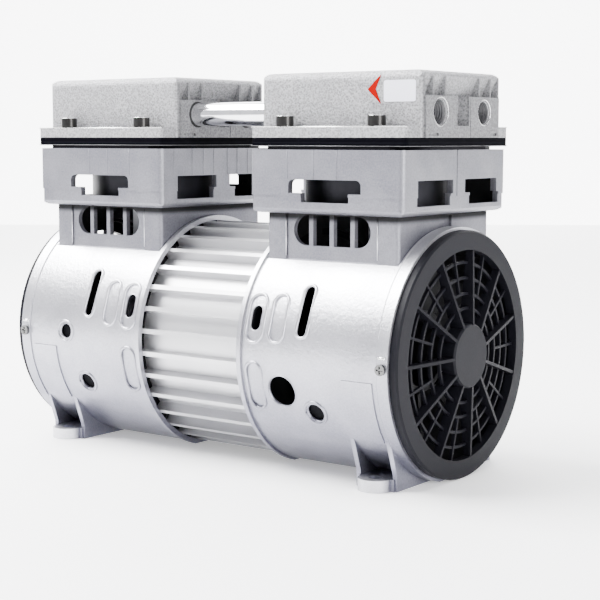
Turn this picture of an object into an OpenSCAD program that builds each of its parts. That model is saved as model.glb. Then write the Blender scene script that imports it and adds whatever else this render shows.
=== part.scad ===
// Twin-cylinder oil-free compressor pump head.
// X runs along the shaft, -Y faces the front, Z is up, and the feet stand on Z = 0.
// Most modules are written for the right end with the shaft at Z = 0, then placed by unit().
// At rest both pistons are at mid-stroke: the right crank pin points to +Y, the left one to -Y.

/* [Drum] */
// Outer radius of the drum
drum_r = 61; // [60.5:0.25:63]
// Thickness of the drum wall
drum_wall = 3; // [2.5:0.25:4]
// Thickness of the bearing wall across the drum
bearing_wall = 5; // [4:0.5:6]
// Depth of the lip that locates the stator housing
lip_depth = 3.5; // [2:0.5:5]
// Distance from each cylinder axis to the outer end of its drum
drum_reach = 45.6; // [45:0.2:50]

/* [Stator] */
// Height of the cooling fins
fin_h = 5.4; // [4:0.2:6]
// Wall of the housing tube under the fins
housing_wall = 4; // [3:0.25:5]
// Number of cooling fins
fin_count = 32; // [24:4:40]
// Thickness of a fin
fin_t = 2.3; // [1.6:0.1:3]
// Length of the lamination stack
stack_len = 48; // [44:1:52]
// How far the windings stand out of the stack
coil_over = 9.5; // [8:0.5:11]
// Radius of the rotor
rotor_r = 26; // [22:0.5:28]

/* [Cylinder] */
// Cylinder bore radius
bore_r = 30; // [28:0.5:31]
// Wall of the cylinder liner
liner_wall = 6.5; // [3:0.25:7.5]
// Crank throw, half the stroke
throw = 7; // [5:0.25:7.5]
// Gap between piston and valve plate at the top of the stroke
top_gap = 1.8; // [1.7:0.1:3]

/* [Box] */
// Half width of the cylinder box along the shaft
box_hx = 44.2; // [42:0.2:44.8]
// Half depth of the cylinder box
box_hy = 46.9; // [45:0.25:49]
// Gap between the drum and the cylinder box, bridged by the neck
neck_rise = 6.6; // [5.5:0.2:8]
// Height of the cylinder box
box_h = 30.4; // [29:0.2:34]
// Wall of the cylinder box
box_wall = 3.5; // [2.5:0.25:4]
// Half width of the neck along the shaft
neck_hx = 38.1; // [36.5:0.25:40]
// Half depth of the neck
neck_hy = 41; // [39.5:0.25:42]

/* [Head] */
// Thickness of the gasket under the valve plate
gasket_t = 1.5; // [1:0.25:2]
// Thickness of the valve plate
plate_t = 4.2; // [3:0.2:6]
// Thickness of the head's flange
flange_t = 5.2; // [4:0.2:7]
// Half width of the flange along the shaft
flange_hx = 44.6; // [43:0.2:46]
// Half depth of the flange
flange_hy = 46.3; // [45.5:0.1:47]
// Height of the head above the valve plate
head_h = 30.9; // [28:0.5:36]
// Half depth of the head's body
head_hy = 36; // [35:0.25:38]
// Wall of the head
head_wall = 4.5; // [3.5:0.25:6]
// Distance of each port from the middle plane
port_y = 20; // [18:0.25:21]
// Radius of the threaded intake port
intake_r = 5.9; // [5:0.1:6.5]
// Radius of the threaded outlet port
outlet_r = 5.4; // [4.5:0.1:6]
// Outer radius of the link tubes
tube_r = 6; // [5:0.1:6.5]

/* [Feet] */
// Distance from the outer end of each drum to its foot holes
foot_inset = 17.1; // [15.5:0.2:19.5]
// Distance from the middle plane to the foot holes
foot_y = 44.5; // [43:0.25:48]
// Thickness of the foot plate
foot_t = 5.8; // [5:0.2:8]
// Radius of the foot holes
foot_hole_r = 3.3; // [2.6:0.1:4.2]

/* [Shaft and bearings] */
// Radius of the motor shaft
shaft_r = 7.5; // [6.5:0.25:8]
// Outer radius of the main bearings
main_or = 17.5; // [16.5:0.25:19]
// Width of the main bearings
main_w = 11; // [9:0.5:12]
// Radius of the crank pin
pin_r = 8.5; // [8:0.25:9]
// Outer radius of the crank-pin bearing
pin_or = 20; // [19:0.25:21]
// Width of the crank-pin bearing
pin_w = 12; // [10:0.5:13]

/* [Fan and grille] */
// Gap between the fan's blade tips and the drum's inner wall
fan_gap = 7; // [4:0.5:14]
// Number of fan blades
blade_count = 9; // [5:1:12]
// Width of the grille's ring
ring_band = 9.3; // [7:0.1:12]
// Thickness of the grille's ring
ring_t = 4.4; // [3.5:0.2:6]
// Radius of the grille's hub
hub_r = 15.5; // [12:0.5:18]
// Number of full spokes
spoke_count = 11; // [7:1:15]

/* [Hidden] */

// Drawing values
round_fn = 96;
small_fn = 48;
over = 1;
near_over = 0.5;

// Running and fitting clearances
run = 0.3;
fit = 0.03;
slip = 0.2;
seat = 0.05;

// The layout, worked out from the middle of the motor outward
coil_room = 2;
boss_len = 9.5;
web_gap = 4.5;
web_thick = 9;
collar_len = 3.5;
wall_x0 = stack_len / 2 + coil_over + coil_room;
wall_x1 = wall_x0 + bearing_wall;
drum_in = wall_x0 - lip_depth;
boss_x1 = wall_x1 + boss_len;
cyl_x = boss_x1 + web_gap + web_thick + collar_len + pin_w / 2;
drum_out = cyl_x + drum_reach;
foot_x = drum_out - foot_inset;

// Radii that follow the drum
fin_drop = 1.6;
ring_drop = 1;
drum_ir = drum_r - drum_wall;
fin_r = drum_r - fin_drop;
housing_r = fin_r - fin_h;
core_r = housing_r - housing_wall;
fan_r = drum_ir - fan_gap;
ring_r = drum_r - ring_drop;
opening_r = ring_r - ring_band;

// Heights above the shaft; the drum's underside is flattened a little
flat_depth = 1.5;
under_gap = 0.4;
shaft_z = drum_r - flat_depth + under_gap;
floor_z = -shaft_z;
box_z0 = drum_r + neck_rise;
box_z1 = box_z0 + box_h;
plate_z0 = box_z1 + gasket_t;
plate_z1 = plate_z0 + plate_t;
flange_z1 = plate_z1 + flange_t;
head_z1 = plate_z1 + head_h;

liner_or = bore_r + liner_wall;
shelf_t = 3.4;
shelf_step = 2;
shelf_z1 = box_z0 + shelf_t;
deck_t = 12;
deck_z0 = box_z1 - deck_t;
head_shift = 0.8;
head_x = cyl_x + head_shift;

module x_cyl(r, x0, x1, fn = round_fn)
    translate([x0, 0, 0])
        rotate([0, 90, 0])
            cylinder(r = r, h = x1 - x0, $fn = fn);

module x_cone(r0, r1, x0, x1, fn = round_fn)
    translate([x0, 0, 0])
        rotate([0, 90, 0])
            cylinder(r1 = r0, r2 = r1, h = x1 - x0, $fn = fn);

module z_cyl(r, z0, z1, fn = round_fn)
    translate([0, 0, z0])
        cylinder(r = r, h = z1 - z0, $fn = fn);

module block(x0, x1, y0, y1, z0, z1)
    translate([x0, y0, z0])
        cube([x1 - x0, y1 - y0, z1 - z0]);

module along_x(x0, x1)
    translate([x0, 0, 0])
        rotate([90, 0, 90])
            linear_extrude(height = x1 - x0)
                children();

module along_y(y0, y1)
    translate([0, y1, 0])
        rotate([90, 0, 0])
            linear_extrude(height = y1 - y0)
                children();

module along_z(z0, z1)
    translate([0, 0, z0])
        linear_extrude(height = z1 - z0)
            children();

// Points of an arc, for outlines with round corners
function arc(cx, cy, r, a0, a1, n = 6) =
    [for (i = [0:n]) [cx + r * cos(a0 + (a1 - a0) * i / n), cy + r * sin(a0 + (a1 - a0) * i / n)]];

// A rectangle with its four corners rounded: lower left, lower right, upper right, upper left
module round_rect(x0, x1, y0, y1, r)
    polygon(concat(
        arc(x0 + r, y0 + r, r, 180, 270),
        arc(x1 - r, y0 + r, r, 270, 360),
        arc(x1 - r, y1 - r, r, 0, 90),
        arc(x0 + r, y1 - r, r, 90, 180)
    ));

module facing(end)
    if (end > 0)
        children();
    else
        mirror([1, 0, 0])
            children();

module mirror_y() {
    children();
    mirror([0, 1, 0])
        children();
}

// Places a right-end shape, modelled with the shaft at Z = 0, at one end: side is 1 or -1
module unit(side)
    translate([0, 0, shaft_z])
        if (side > 0)
            children();
        else
            mirror([1, 0, 0])
                children();

// Places a shape whose crank pin points to +Y; the left end has it half a turn round
module crank_unit(side)
    translate([0, 0, shaft_z])
        if (side > 0)
            children();
        else
            rotate([0, 0, 180])
                children();

// A radial frame on the drum: local Z points outward at an angle above the horizontal
module on_drum(x, angle)
    translate([x, 0, 0])
        rotate([90 - angle, 0, 0])
            children();

// A slot with round ends, long across local Y, cut from z0 to z1
module slot(w, len, z0, z1)
    union() {
        block(-w / 2, w / 2, -(len - w) / 2, (len - w) / 2, z0, z1);
        for (s = [-1, 1])
            translate([0, s * (len - w) / 2, 0])
                z_cyl(w / 2, z0, z1, small_fn);
    }

// Crankcase casting
rim_step = 1.2;
rim_w = 2.4;
band_step = 0.4;
band_w = 6;
box_corner = 2.5;
box_bottom_corner = 4.2;
box_inset = 0.4;
box_step_h = 8.6;
box_step_z = box_z0 + box_step_h;
neck_corner = 2;
neck_panel_hx = 26.5;
neck_panel_depth = 0.6;
boss_r = 22;
seat_x0 = boss_x1 - main_w;
shoulder_r = 13;
window_r = 2.8;

module box_outline(inset, r)
    round_rect(cyl_x - box_hx + inset, cyl_x + box_hx - inset, -box_hy + inset, box_hy - inset, r);

module box_body() {
    bottom = box_bottom_corner;
    intersection() {
        union() {
            along_z(box_z0, box_step_z)
                box_outline(box_inset, box_corner);
            along_z(box_step_z, box_z1)
                box_outline(0, box_corner);
        }
        along_y(-box_hy - over, box_hy + over)
            round_rect(cyl_x - box_hx, cyl_x + box_hx, box_z0, box_z1 + bottom + over, bottom);
        along_x(cyl_x - box_hx - over, cyl_x + box_hx + over)
            round_rect(-box_hy, box_hy, box_z0, box_z1 + bottom + over, bottom);
    }
}

module neck_body() {
    x0 = cyl_x - neck_hx;
    x1 = cyl_x + neck_hx;
    difference() {
        along_z(0, box_z0 + box_bottom_corner)
            round_rect(x0, x1, -neck_hy, neck_hy, neck_corner);
        mirror_y()
            block(cyl_x - neck_panel_hx, cyl_x + neck_panel_hx, -neck_hy - over,
                -neck_hy + neck_panel_depth, 0, box_z0);
    }
}

// Windows through the box walls: a wide slot over a narrower one
window_top_h = 16.4;
window_mid_h = 9.9;
window_low_h = 5.6;
window_top = box_z0 + window_top_h;
window_mid = box_z0 + window_mid_h;
window_low = box_z0 + window_low_h;
window_hx = 20.9;
window_low_hx = 13.7;
front_end_y0 = 3.4;
front_end_y1 = 34.6;
front_end_foot = 2.1;
rear_end_y0 = 7.6;
rear_end_y1 = 38;
rear_end_foot = 4.6;
rear_end_lip = 2.3;
end_window_low_h = 4.4;
end_window_low = box_z0 + end_window_low_h;
seam_w = 0.8;
seam_depth = 0.3;

module box_windows() {
    mirror_y()
        along_y(-box_hy - over, -box_hy + box_wall + near_over)
            union() {
                round_rect(cyl_x - window_hx, cyl_x + window_hx, window_mid, window_top, window_r);
                translate([cyl_x - window_hx, window_mid])
                    square([2 * window_hx, window_r]);
                translate([cyl_x - window_low_hx, window_low])
                    square([2 * window_low_hx, window_mid - window_low + window_r]);
            }
    for (end = [-1, 1])
        translate([cyl_x + end * (box_hx - box_wall / 2), 0, 0])
            along_x(-box_wall / 2 - over, box_wall / 2 + over) {
                front_end_window();
                rear_end_window();
            }
}

module front_end_window()
    polygon([
        [-front_end_y0 - front_end_foot, end_window_low],
        [-front_end_y1, end_window_low],
        [-front_end_y1, window_top],
        [-front_end_y0, window_top],
        [-front_end_y0, window_mid],
        [-front_end_y0 - front_end_foot, window_mid]
    ]);

module rear_end_window()
    polygon([
        [rear_end_y0 + rear_end_foot, end_window_low],
        [rear_end_y1 + rear_end_lip, end_window_low],
        [rear_end_y1 + rear_end_lip, window_mid],
        [rear_end_y1, window_mid],
        [rear_end_y1, window_top],
        [rear_end_y0, window_top],
        [rear_end_y0, window_mid],
        [rear_end_y0 + rear_end_foot, window_mid]
    ]);

// The neck's windows: a slot with round ends behind upright bars
neck_window_hx = 22.3;
neck_window_h = 14.6;
neck_window_drop = 8;
neck_window_z = box_z0 - neck_window_drop;
neck_bar_pitch = 12;
neck_bar_w = 2.4;
neck_wall = 3.5;
neck_end_hy = 5.7;
neck_end_h = 8.6;
neck_end_depth = 1.6;
neck_end_z0 = box_z0 - neck_end_h;

module neck_windows() {
    h = neck_window_h;
    difference() {
        along_y(-neck_hy - over, neck_hy + over)
            union() {
                translate([cyl_x - neck_window_hx + h / 2, neck_window_z - h / 2])
                    square([2 * neck_window_hx - h, h]);
                for (s = [-1, 1])
                    translate([cyl_x + s * (neck_window_hx - h / 2), neck_window_z])
                        circle(r = h / 2, $fn = small_fn);
            }
        for (i = [-1, 0, 1])
            block(cyl_x + i * neck_bar_pitch - neck_bar_w / 2, cyl_x + i * neck_bar_pitch + neck_bar_w / 2,
                -neck_hy - 2 * over, neck_hy + 2 * over, 0, box_z0);
    }
    // A blind groove in the outer end
    block(cyl_x + neck_hx - neck_end_depth, cyl_x + neck_hx + over, -neck_end_hy, neck_end_hy,
        neck_end_z0, box_z0 - over);
}

// Slots, holes and shallow pockets in the drum: places along the shaft and angles above the horizontal
vent_x = 69.4;
vent_a = 22.1;
vent_w = 6;
vent_len = 25.2;
pocket_depth = 0.6;
mid_pocket_x = 54.5;
mid_pocket_a = 17.9;
mid_pocket_w = 8;
mid_pocket_len = 23;
end_pocket_x = 41.3;
end_pocket_a = 17.2;
end_pocket_w = 9.6;
end_pocket_len = 23.4;
peep_w = 6.2;
peep_len = 12.6;
peep_depth = 8;
low_pocket_a = -14.3;
low_pocket_w = 8.6;
low_pocket_len = 23;
drain_x = 75;
drain_a = -24.3;
drain_r = 4.4;
drain_mouth_r = 5.2;
sensor_x = 85.5;
sensor_a = 1.6;
sensor_r = 3.7;
sensor_mouth_r = 4.5;
cable_x = 57.3;
cable_a = -15.4;
cable_r = 7.6;
pad_hx = 8.5;
pad_x = foot_x;
pad_step = 0.6;
pad_a0 = -36;
pad_a1 = -6.5;

// The wall is thinned from the inside round each opening
thin_wall = 1.2;
thin_margin = 1.4;

module drum_pocket(x, angle, w, len)
    difference() {
        on_drum(x, angle)
            slot(w, len, drum_ir, drum_r + over + rim_step);
        x_cyl(drum_r - pocket_depth, x - w, x + w);
    }

module drum_slot(x, angle, w, len) {
    on_drum(x, angle)
        slot(w, len, drum_ir - drum_wall, drum_r + over + rim_step);
    intersection() {
        on_drum(x, angle)
            slot(w + 2 * thin_margin, len + 2 * thin_margin, drum_ir - drum_wall, drum_r);
        x_cyl(drum_r - thin_wall, x - w, x + w);
    }
}

module drum_hole(x, angle, r, mouth_r) {
    on_drum(x, angle) {
        z_cyl(r, drum_ir - drum_wall, drum_r + over, small_fn);
        translate([0, 0, drum_r - thin_wall / 2])
            cylinder(r1 = r, r2 = mouth_r, h = thin_wall / 2 + near_over, $fn = small_fn);
    }
    intersection() {
        on_drum(x, angle)
            z_cyl(r + thin_margin, drum_ir - drum_wall, drum_r, small_fn);
        x_cyl(drum_r - thin_wall, x - 2 * r, x + 2 * r);
    }
}

module drum_openings(side) {
    mirror_y() {
        drum_slot(vent_x, vent_a, vent_w, vent_len);
        drum_pocket(mid_pocket_x, mid_pocket_a, mid_pocket_w, mid_pocket_len);
        drum_pocket(end_pocket_x, end_pocket_a, end_pocket_w, end_pocket_len);
        drum_pocket(end_pocket_x, low_pocket_a, low_pocket_w, low_pocket_len);
        drum_hole(drain_x, drain_a, drain_r, drain_mouth_r);
    }
    // The inner slot runs into the bearing wall, down to its cooling slots
    mirror_y()
        on_drum(end_pocket_x, end_pocket_a)
            slot(peep_w, peep_len, drum_ir - peep_depth, drum_r + over);
    if (side > 0)
        drum_hole(cable_x, cable_a, cable_r, cable_r + thin_wall / 2);
    else
        drum_hole(sensor_x, sensor_a, sensor_r, sensor_mouth_r);
}

// Raised pad on the drum above each foot
module foot_pad()
    intersection() {
        x_cyl(drum_r + pad_step, pad_x - pad_hx, pad_x + pad_hx);
        along_x(pad_x - pad_hx - over, pad_x + pad_hx + over)
            polygon([
                [0, 0],
                [-2 * drum_r * cos(pad_a1), 2 * drum_r * sin(pad_a1)],
                [-2 * drum_r * cos(pad_a0), 2 * drum_r * sin(pad_a0)]
            ]);
    }

// Cooling slots round the bearing wall, open between the fins; the bridges stand behind fins
cool_r0 = housing_r + near_over;
cool_count = 8;
bridge_a = 5.5;
inner_vent_r = 6;
inner_vent_ring_r = 33;
inner_vent_count = 6;
bolt_edge = 2.8;
bolt_ring_r = core_r - bolt_edge;
bolt_r = 2.5;
bolt_angles = [45, 135, 225, 315];

module sector(r, a0, a1)
    polygon([[0, 0], for (i = [0:4]) 2 * r * [cos(a0 + (a1 - a0) * i / 4), sin(a0 + (a1 - a0) * i / 4)]]);

module wall_openings() {
    pitch = 360 / cool_count;
    first = 360 / fin_count / 2;
    x0 = wall_x0 - near_over;
    x1 = wall_x1 + near_over;
    for (i = [0:cool_count - 1])
        intersection() {
            difference() {
                x_cyl(drum_ir, x0, x1);
                x_cyl(cool_r0, x0 - over, x1 + over);
            }
            along_x(x0 - over, x1 + over)
                sector(drum_r, first + i * pitch + bridge_a / 2, first + (i + 1) * pitch - bridge_a / 2);
        }
    for (i = [0:inner_vent_count - 1])
        rotate([i * 360 / inner_vent_count, 0, 0])
            translate([0, inner_vent_ring_r, 0])
                x_cyl(inner_vent_r, x0, x1, small_fn);
    for (a = bolt_angles)
        rotate([a, 0, 0])
            translate([0, bolt_ring_r, 0])
                x_cyl(bolt_r + slip, x0, x1, small_fn);
}

// Feet: two cross webs with a plate between them at the front and the rear
web_dx = 10.2;
web_t = 2.4;
web_back = 1;
web_y = foot_y - web_back;
web_upright = 2;
foot_plate_y0 = 28;
web_top_a = 36.5;
foot_end_r = 8.4;

module foot_web(x)
    along_x(x - web_t / 2, x + web_t / 2)
        polygon([
            [-web_y, floor_z],
            [web_y, floor_z],
            [web_y, floor_z + foot_t + web_upright],
            [drum_r * cos(web_top_a), -drum_r * sin(web_top_a)],
            [-drum_r * cos(web_top_a), -drum_r * sin(web_top_a)],
            [-web_y, floor_z + foot_t + web_upright]
        ]);

module foot_plate()
    translate([foot_x, 0, 0]) {
        block(-web_dx, web_dx, -foot_y, -foot_plate_y0, floor_z, floor_z + foot_t);
        translate([0, -foot_y, 0])
            z_cyl(foot_end_r, floor_z, floor_z + foot_t);
    }

module feet() {
    foot_web(foot_x - web_dx);
    foot_web(foot_x + web_dx);
    mirror_y()
        foot_plate();
}

head_screw_hx = 26.4;
head_screw_y = 42.2;
head_screw_r = 2.5;
tapped_depth = deck_t - 1;

module at_head_screws()
    for (sx = [-1, 1])
        for (sy = [-1, 1])
            translate([cyl_x + sx * head_screw_hx, sy * head_screw_y, 0])
                children();

grille_screw_edge = 3.2;
grille_screw_x = drum_out - grille_screw_edge;
grille_screw_r = 1.5;

module drum_body()
    difference() {
        union() {
            x_cyl(drum_r, drum_in, drum_out);
            x_cyl(drum_r + rim_step, drum_in, drum_in + rim_w);
            x_cyl(drum_r + band_step, drum_out - band_w, drum_out);
            mirror_y()
                foot_pad();
        }
        // Flat underneath, just clear of the ground
        block(drum_in - over, drum_out + over, -drum_r, drum_r, -drum_r - rim_step - over,
            floor_z + under_gap);
    }

module crankcase_shell(side)
    difference() {
        union() {
            drum_body();
            neck_body();
            box_body();
            feet();
        }
        // Room for the stator's end, the rods and the fan
        x_cyl(fin_r + slip, drum_in - over, wall_x0);
        x_cyl(drum_ir, wall_x1, drum_out + over);
        block(wall_x1, cyl_x + neck_hx - neck_wall, -neck_hy + neck_wall, neck_hy - neck_wall,
            0, box_z0 + near_over);
        // Room for the liner and the air round it
        block(cyl_x - box_hx + box_wall, cyl_x + box_hx - box_wall, -box_hy + box_wall,
            box_hy - box_wall, shelf_z1, deck_z0);
        translate([cyl_x, 0, 0]) {
            z_cyl(bore_r + shelf_step, box_z0 - over, shelf_z1 + over);
            z_cyl(liner_or + slip, deck_z0 - over, box_z1 + over);
        }
        box_windows();
        neck_windows();
        drum_openings(side);
        wall_openings();
        mirror_y()
            translate([foot_x, foot_y, 0])
                z_cyl(foot_hole_r, floor_z - over, floor_z + foot_t + over);
        at_head_screws()
            z_cyl(head_screw_r + fit, box_z1 - tapped_depth, box_z1 + over, small_fn);
        mirror_y()
            translate([grille_screw_x, 0, 0])
                rotate([90, 0, 0])
                    z_cyl(grille_screw_r + slip, drum_ir - over, drum_r + over, small_fn);
        block(cyl_x + box_hx - seam_depth, cyl_x + box_hx + over, -seam_w / 2, seam_w / 2,
            box_z0, box_z1 + over);
    }

module crankcase(side)
    difference() {
        union() {
            crankcase_shell(side);
            x_cyl(boss_r, wall_x1 - near_over, boss_x1);
        }
        x_cyl(main_or + fit, seat_x0, boss_x1 + over);
        x_cyl(shoulder_r, wall_x0 - over, seat_x0 + over);
    }

module crankcase_left()
    color([0.83, 0.83, 0.86])
        unit(-1)
            crankcase(-1);

module crankcase_right()
    color([0.83, 0.83, 0.86])
        unit(1)
            crankcase(1);

// Stator: finned housing, lamination core, windings, through bolts and nuts
slot_count = 24;
slot_w = 3.6;
tooth_tip = 3.4;
slot_depth = 11;
slot_r0 = rotor_r + tooth_tip;
slot_r1 = slot_r0 + slot_depth;
air_gap = 0.4;
coil_round = 2.5;

module stator_housing()
    color([0.86, 0.86, 0.88])
        translate([0, 0, shaft_z])
            difference() {
                union() {
                    x_cyl(housing_r, -wall_x0, wall_x0);
                    for (i = [0:fin_count - 1])
                        rotate([(i + 0.5) * 360 / fin_count, 0, 0])
                            block(-wall_x0 + slip, wall_x0 - slip, (core_r + housing_r) / 2, fin_r,
                                -fin_t / 2, fin_t / 2);
                }
                x_cyl(core_r + fit, -wall_x0 - over, wall_x0 + over);
            }

module stator_slots(w)
    for (i = [0:slot_count - 1])
        rotate([i * 360 / slot_count, 0, 0])
            block(-stack_len / 2 - over, stack_len / 2 + over, slot_r0, slot_r1, -w / 2, w / 2);

module stator_core()
    color([0.35, 0.36, 0.38])
        translate([0, 0, shaft_z])
            difference() {
                x_cyl(core_r, -stack_len / 2, stack_len / 2);
                x_cyl(rotor_r + air_gap, -stack_len / 2 - over, stack_len / 2 + over);
                stator_slots(slot_w);
                for (a = bolt_angles)
                    rotate([a, 0, 0])
                        translate([0, bolt_ring_r, 0])
                            x_cyl(bolt_r + slip, -stack_len / 2 - over, stack_len / 2 + over, small_fn);
            }

module stator_windings()
    color([0.72, 0.4, 0.2])
        translate([0, 0, shaft_z]) {
            for (s = [-1, 1])
                rotate([0, s * 90, 0])
                    rotate_extrude($fn = round_fn)
                        round_rect(slot_r0, slot_r1, stack_len / 2 + seat, stack_len / 2 + coil_over,
                            coil_round);
            stator_slots(slot_w - 2 * slip);
        }

bolt_head_r = 4.25;
bolt_head_h = 4;
nut_h = 4;
nut_flats = 8;
bolt_reach = 2;

module stator_bolts()
    color([0.6, 0.6, 0.62])
        translate([0, 0, shaft_z])
            for (a = bolt_angles)
                rotate([a, 0, 0])
                    translate([0, bolt_ring_r, 0]) {
                        x_cyl(bolt_r, -wall_x1 - nut_h - bolt_reach, wall_x1 + near_over, small_fn);
                        x_cyl(bolt_head_r, wall_x1, wall_x1 + bolt_head_h, small_fn);
                    }

module stator_nuts()
    color([0.6, 0.6, 0.62])
        translate([0, 0, shaft_z])
            for (a = bolt_angles)
                rotate([a, 0, 0])
                    translate([0, bolt_ring_r, 0])
                        difference() {
                            x_cyl(nut_flats / sqrt(3), -wall_x1 - nut_h, -wall_x1, 6);
                            x_cyl(bolt_r + fit, -wall_x1 - nut_h - over, -wall_x1 + over, small_fn);
                        }

// Cylinder liner, gasket and valve plate
module cylinder_liner()
    translate([cyl_x, 0, 0])
        difference() {
            z_cyl(liner_or, shelf_z1, plate_z0 - seat);
            z_cyl(bore_r, shelf_z1 - over, plate_z0 + over);
        }

module cylinder_liner_left()
    color([0.7, 0.71, 0.73])
        unit(-1)
            cylinder_liner();

module cylinder_liner_right()
    color([0.7, 0.71, 0.73])
        unit(1)
            cylinder_liner();

gasket_inset = 0.6;
gasket_cut_x = 9;
gasket_cut_y = 20;
gasket_bore_gap = 0.4;

module gasket() {
    hx = flange_hx - gasket_inset;
    hy = flange_hy - gasket_inset;
    cx = gasket_cut_x;
    cy = gasket_cut_y;
    difference() {
        translate([head_x, 0, 0])
            along_z(box_z1, plate_z0)
                polygon([
                    [-hx + cx, -hy], [hx - cx, -hy], [hx, -hy + cy], [hx, hy - cy],
                    [hx - cx, hy], [-hx + cx, hy], [-hx, hy - cy], [-hx, -hy + cy]
                ]);
        translate([cyl_x, 0, 0])
            z_cyl(liner_or + gasket_bore_gap, box_z1 - over, plate_z0 + over);
        at_head_screws()
            z_cyl(head_screw_r + slip, box_z1 - over, plate_z0 + over, small_fn);
    }
}

module gasket_left()
    color([0.1, 0.1, 0.11])
        unit(-1)
            gasket();

module gasket_right()
    color([0.1, 0.1, 0.11])
        unit(1)
            gasket();

// Reeds: the leaf lies along X; the intake side is at -Y, the exhaust side at +Y
reed_y = 12;
reed_root_dx = 17;
reed_root_x = cyl_x - reed_root_dx;
reed_len = 26;
reed_w = 11;
reed_t = 0.3;
reed_gap = 0.08;
valve_hole_r = 3.2;
valve_hole_dx = 5.5;
valve_hole_edge = 8;
valve_hole_x = reed_root_x + reed_len - valve_hole_edge;
clamp_len = 6;
clamp_t = 1;
rivet_r = 1.2;
plate_corner = 1.5;

module flange_outline()
    round_rect(head_x - flange_hx, head_x + flange_hx, -flange_hy, flange_hy, plate_corner);

module valve_plate()
    difference() {
        along_z(plate_z0, plate_z1)
            flange_outline();
        for (sy = [-1, 1])
            for (sx = [-1, 1])
                translate([valve_hole_x + sx * valve_hole_dx, sy * reed_y, 0])
                    z_cyl(valve_hole_r, plate_z0 - over, plate_z1 + over, small_fn);
        for (sy = [-1, 1])
            translate([reed_root_x - clamp_len / 2 - run, sy * reed_y, 0])
                z_cyl(rivet_r + fit, plate_z0 - over, plate_z1 + over, small_fn);
        at_head_screws()
            z_cyl(head_screw_r + slip, plate_z0 - over, plate_z1 + over, small_fn);
    }

module valve_plate_left()
    color([0.12, 0.12, 0.14])
        unit(-1)
            valve_plate();

module valve_plate_right()
    color([0.12, 0.12, 0.14])
        unit(1)
            valve_plate();

module reed(z)
    block(reed_root_x, reed_root_x + reed_len, -reed_w / 2, reed_w / 2, z, z + reed_t);

module intake_reed()
    translate([0, -reed_y, 0])
        reed(plate_z0 - reed_gap - reed_t);

module exhaust_reed()
    translate([0, reed_y, 0])
        reed(plate_z1 + reed_gap);

module intake_reed_left()
    color([0.6, 0.65, 0.75])
        unit(-1)
            intake_reed();

module intake_reed_right()
    color([0.6, 0.65, 0.75])
        unit(1)
            intake_reed();

module exhaust_reed_left()
    color([0.6, 0.65, 0.75])
        unit(-1)
            exhaust_reed();

module exhaust_reed_right()
    color([0.6, 0.65, 0.75])
        unit(1)
            exhaust_reed();

// The intake reed's clamp, with one rivet through the plate and both clamps
module reed_clamp() {
    x0 = reed_root_x - run - clamp_len;
    x1 = reed_root_x - run;
    translate([0, -reed_y, 0])
        union() {
            block(x0, x1, -reed_w / 2, reed_w / 2, plate_z0 - clamp_t, plate_z0);
            translate([(x0 + x1) / 2, 0, 0])
                z_cyl(rivet_r, plate_z0 - near_over, plate_z1, small_fn);
        }
}

module reed_clamps()
    color([0.55, 0.56, 0.6])
        for (side = [-1, 1])
            unit(side)
                reed_clamp();

// The exhaust reed's clamp and its rising stop are one bent strip
stop_rise = 3.4;
stop_t = 1.2;
stop_gap = 0.25;

module exhaust_stop() {
    x0 = reed_root_x - run - clamp_len;
    x1 = reed_root_x - run;
    x2 = reed_root_x + reed_len;
    low = plate_z1 + reed_gap + reed_t + stop_gap;
    translate([0, reed_y, 0])
        union() {
            along_y(-reed_w / 2, reed_w / 2)
                polygon([
                    [x0, plate_z1], [x1, plate_z1], [x1, low], [x2, low + stop_rise],
                    [x2, low + stop_rise + stop_t], [x1, low + stop_t], [x0, low + stop_t]
                ]);
            translate([(x0 + x1) / 2, 0, 0])
                z_cyl(rivet_r, plate_z0, plate_z1 + near_over, small_fn);
        }
}

module exhaust_stops()
    color([0.55, 0.56, 0.6])
        for (side = [-1, 1])
            unit(side)
                exhaust_stop();

// Cylinder head: flange, body, and a port block at each end
head_hx = 45.9;
block_hx = 46.5;
block_hy = 34;
block_h = 19.3;
port_h = 11.9;
head_round = 4.2;
head_corner = 2;
notch_y0 = -6.3;
notch_y1 = 5.2;
notch_floor = 5.5;
notch_depth = 6;
rib_pocket_depth = 4.5;
rib_pocket_h = 10;
rib_w = 1.5;
rib_places = [15.6, 26.2];
slit_w = 0.5;
slit_depth = 0.7;
slit_places = [-33.5, 6.6];
foot_relief_z = 0.9;
foot_relief_h = 1.3;
foot_relief_depth = 1;
foot_reliefs = [[-32, -22], [26, 32]];
chamber_hx = 34.5;
divider_w = 3.6;
socket_depth = block_hx - chamber_hx;
port_z = plate_z1 + port_h;
block_z1 = plate_z1 + block_h;
seal_wall = 0.7;
seal_r = tube_r + seal_wall;
seal_w = 1.6;
seal_depth = 1.5;
port_mouth = 1.1;

module head_body()
    translate([head_x, 0, 0])
        intersection() {
            along_z(plate_z1, head_z1)
                round_rect(-head_hx, head_hx, -head_hy, head_hy, head_corner);
            along_y(-head_hy - over, head_hy + over)
                round_rect(-head_hx, head_hx, plate_z1 - head_round - over, head_z1, head_round);
            along_x(-head_hx - over, head_hx + over)
                round_rect(-head_hy, head_hy, plate_z1 - head_round - over, head_z1, head_round);
        }

// Wedge pockets between the ribs above a port block; end is 1 or -1
module rib_pockets(end) {
    x = head_hx;
    edges = concat([block_hy], [for (i = [len(rib_places) - 1:-1:0]) rib_places[i]]);
    translate([head_x, 0, 0])
        facing(end) {
            for (i = [0:len(edges) - 2])
                mirror_y()
                    along_y(edges[i + 1] + rib_w / 2, edges[i] - rib_w / 2)
                        rib_wedge(x);
            along_y(-rib_places[0] + rib_w / 2, rib_places[0] - rib_w / 2)
                rib_wedge(x);
        }
}

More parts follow.
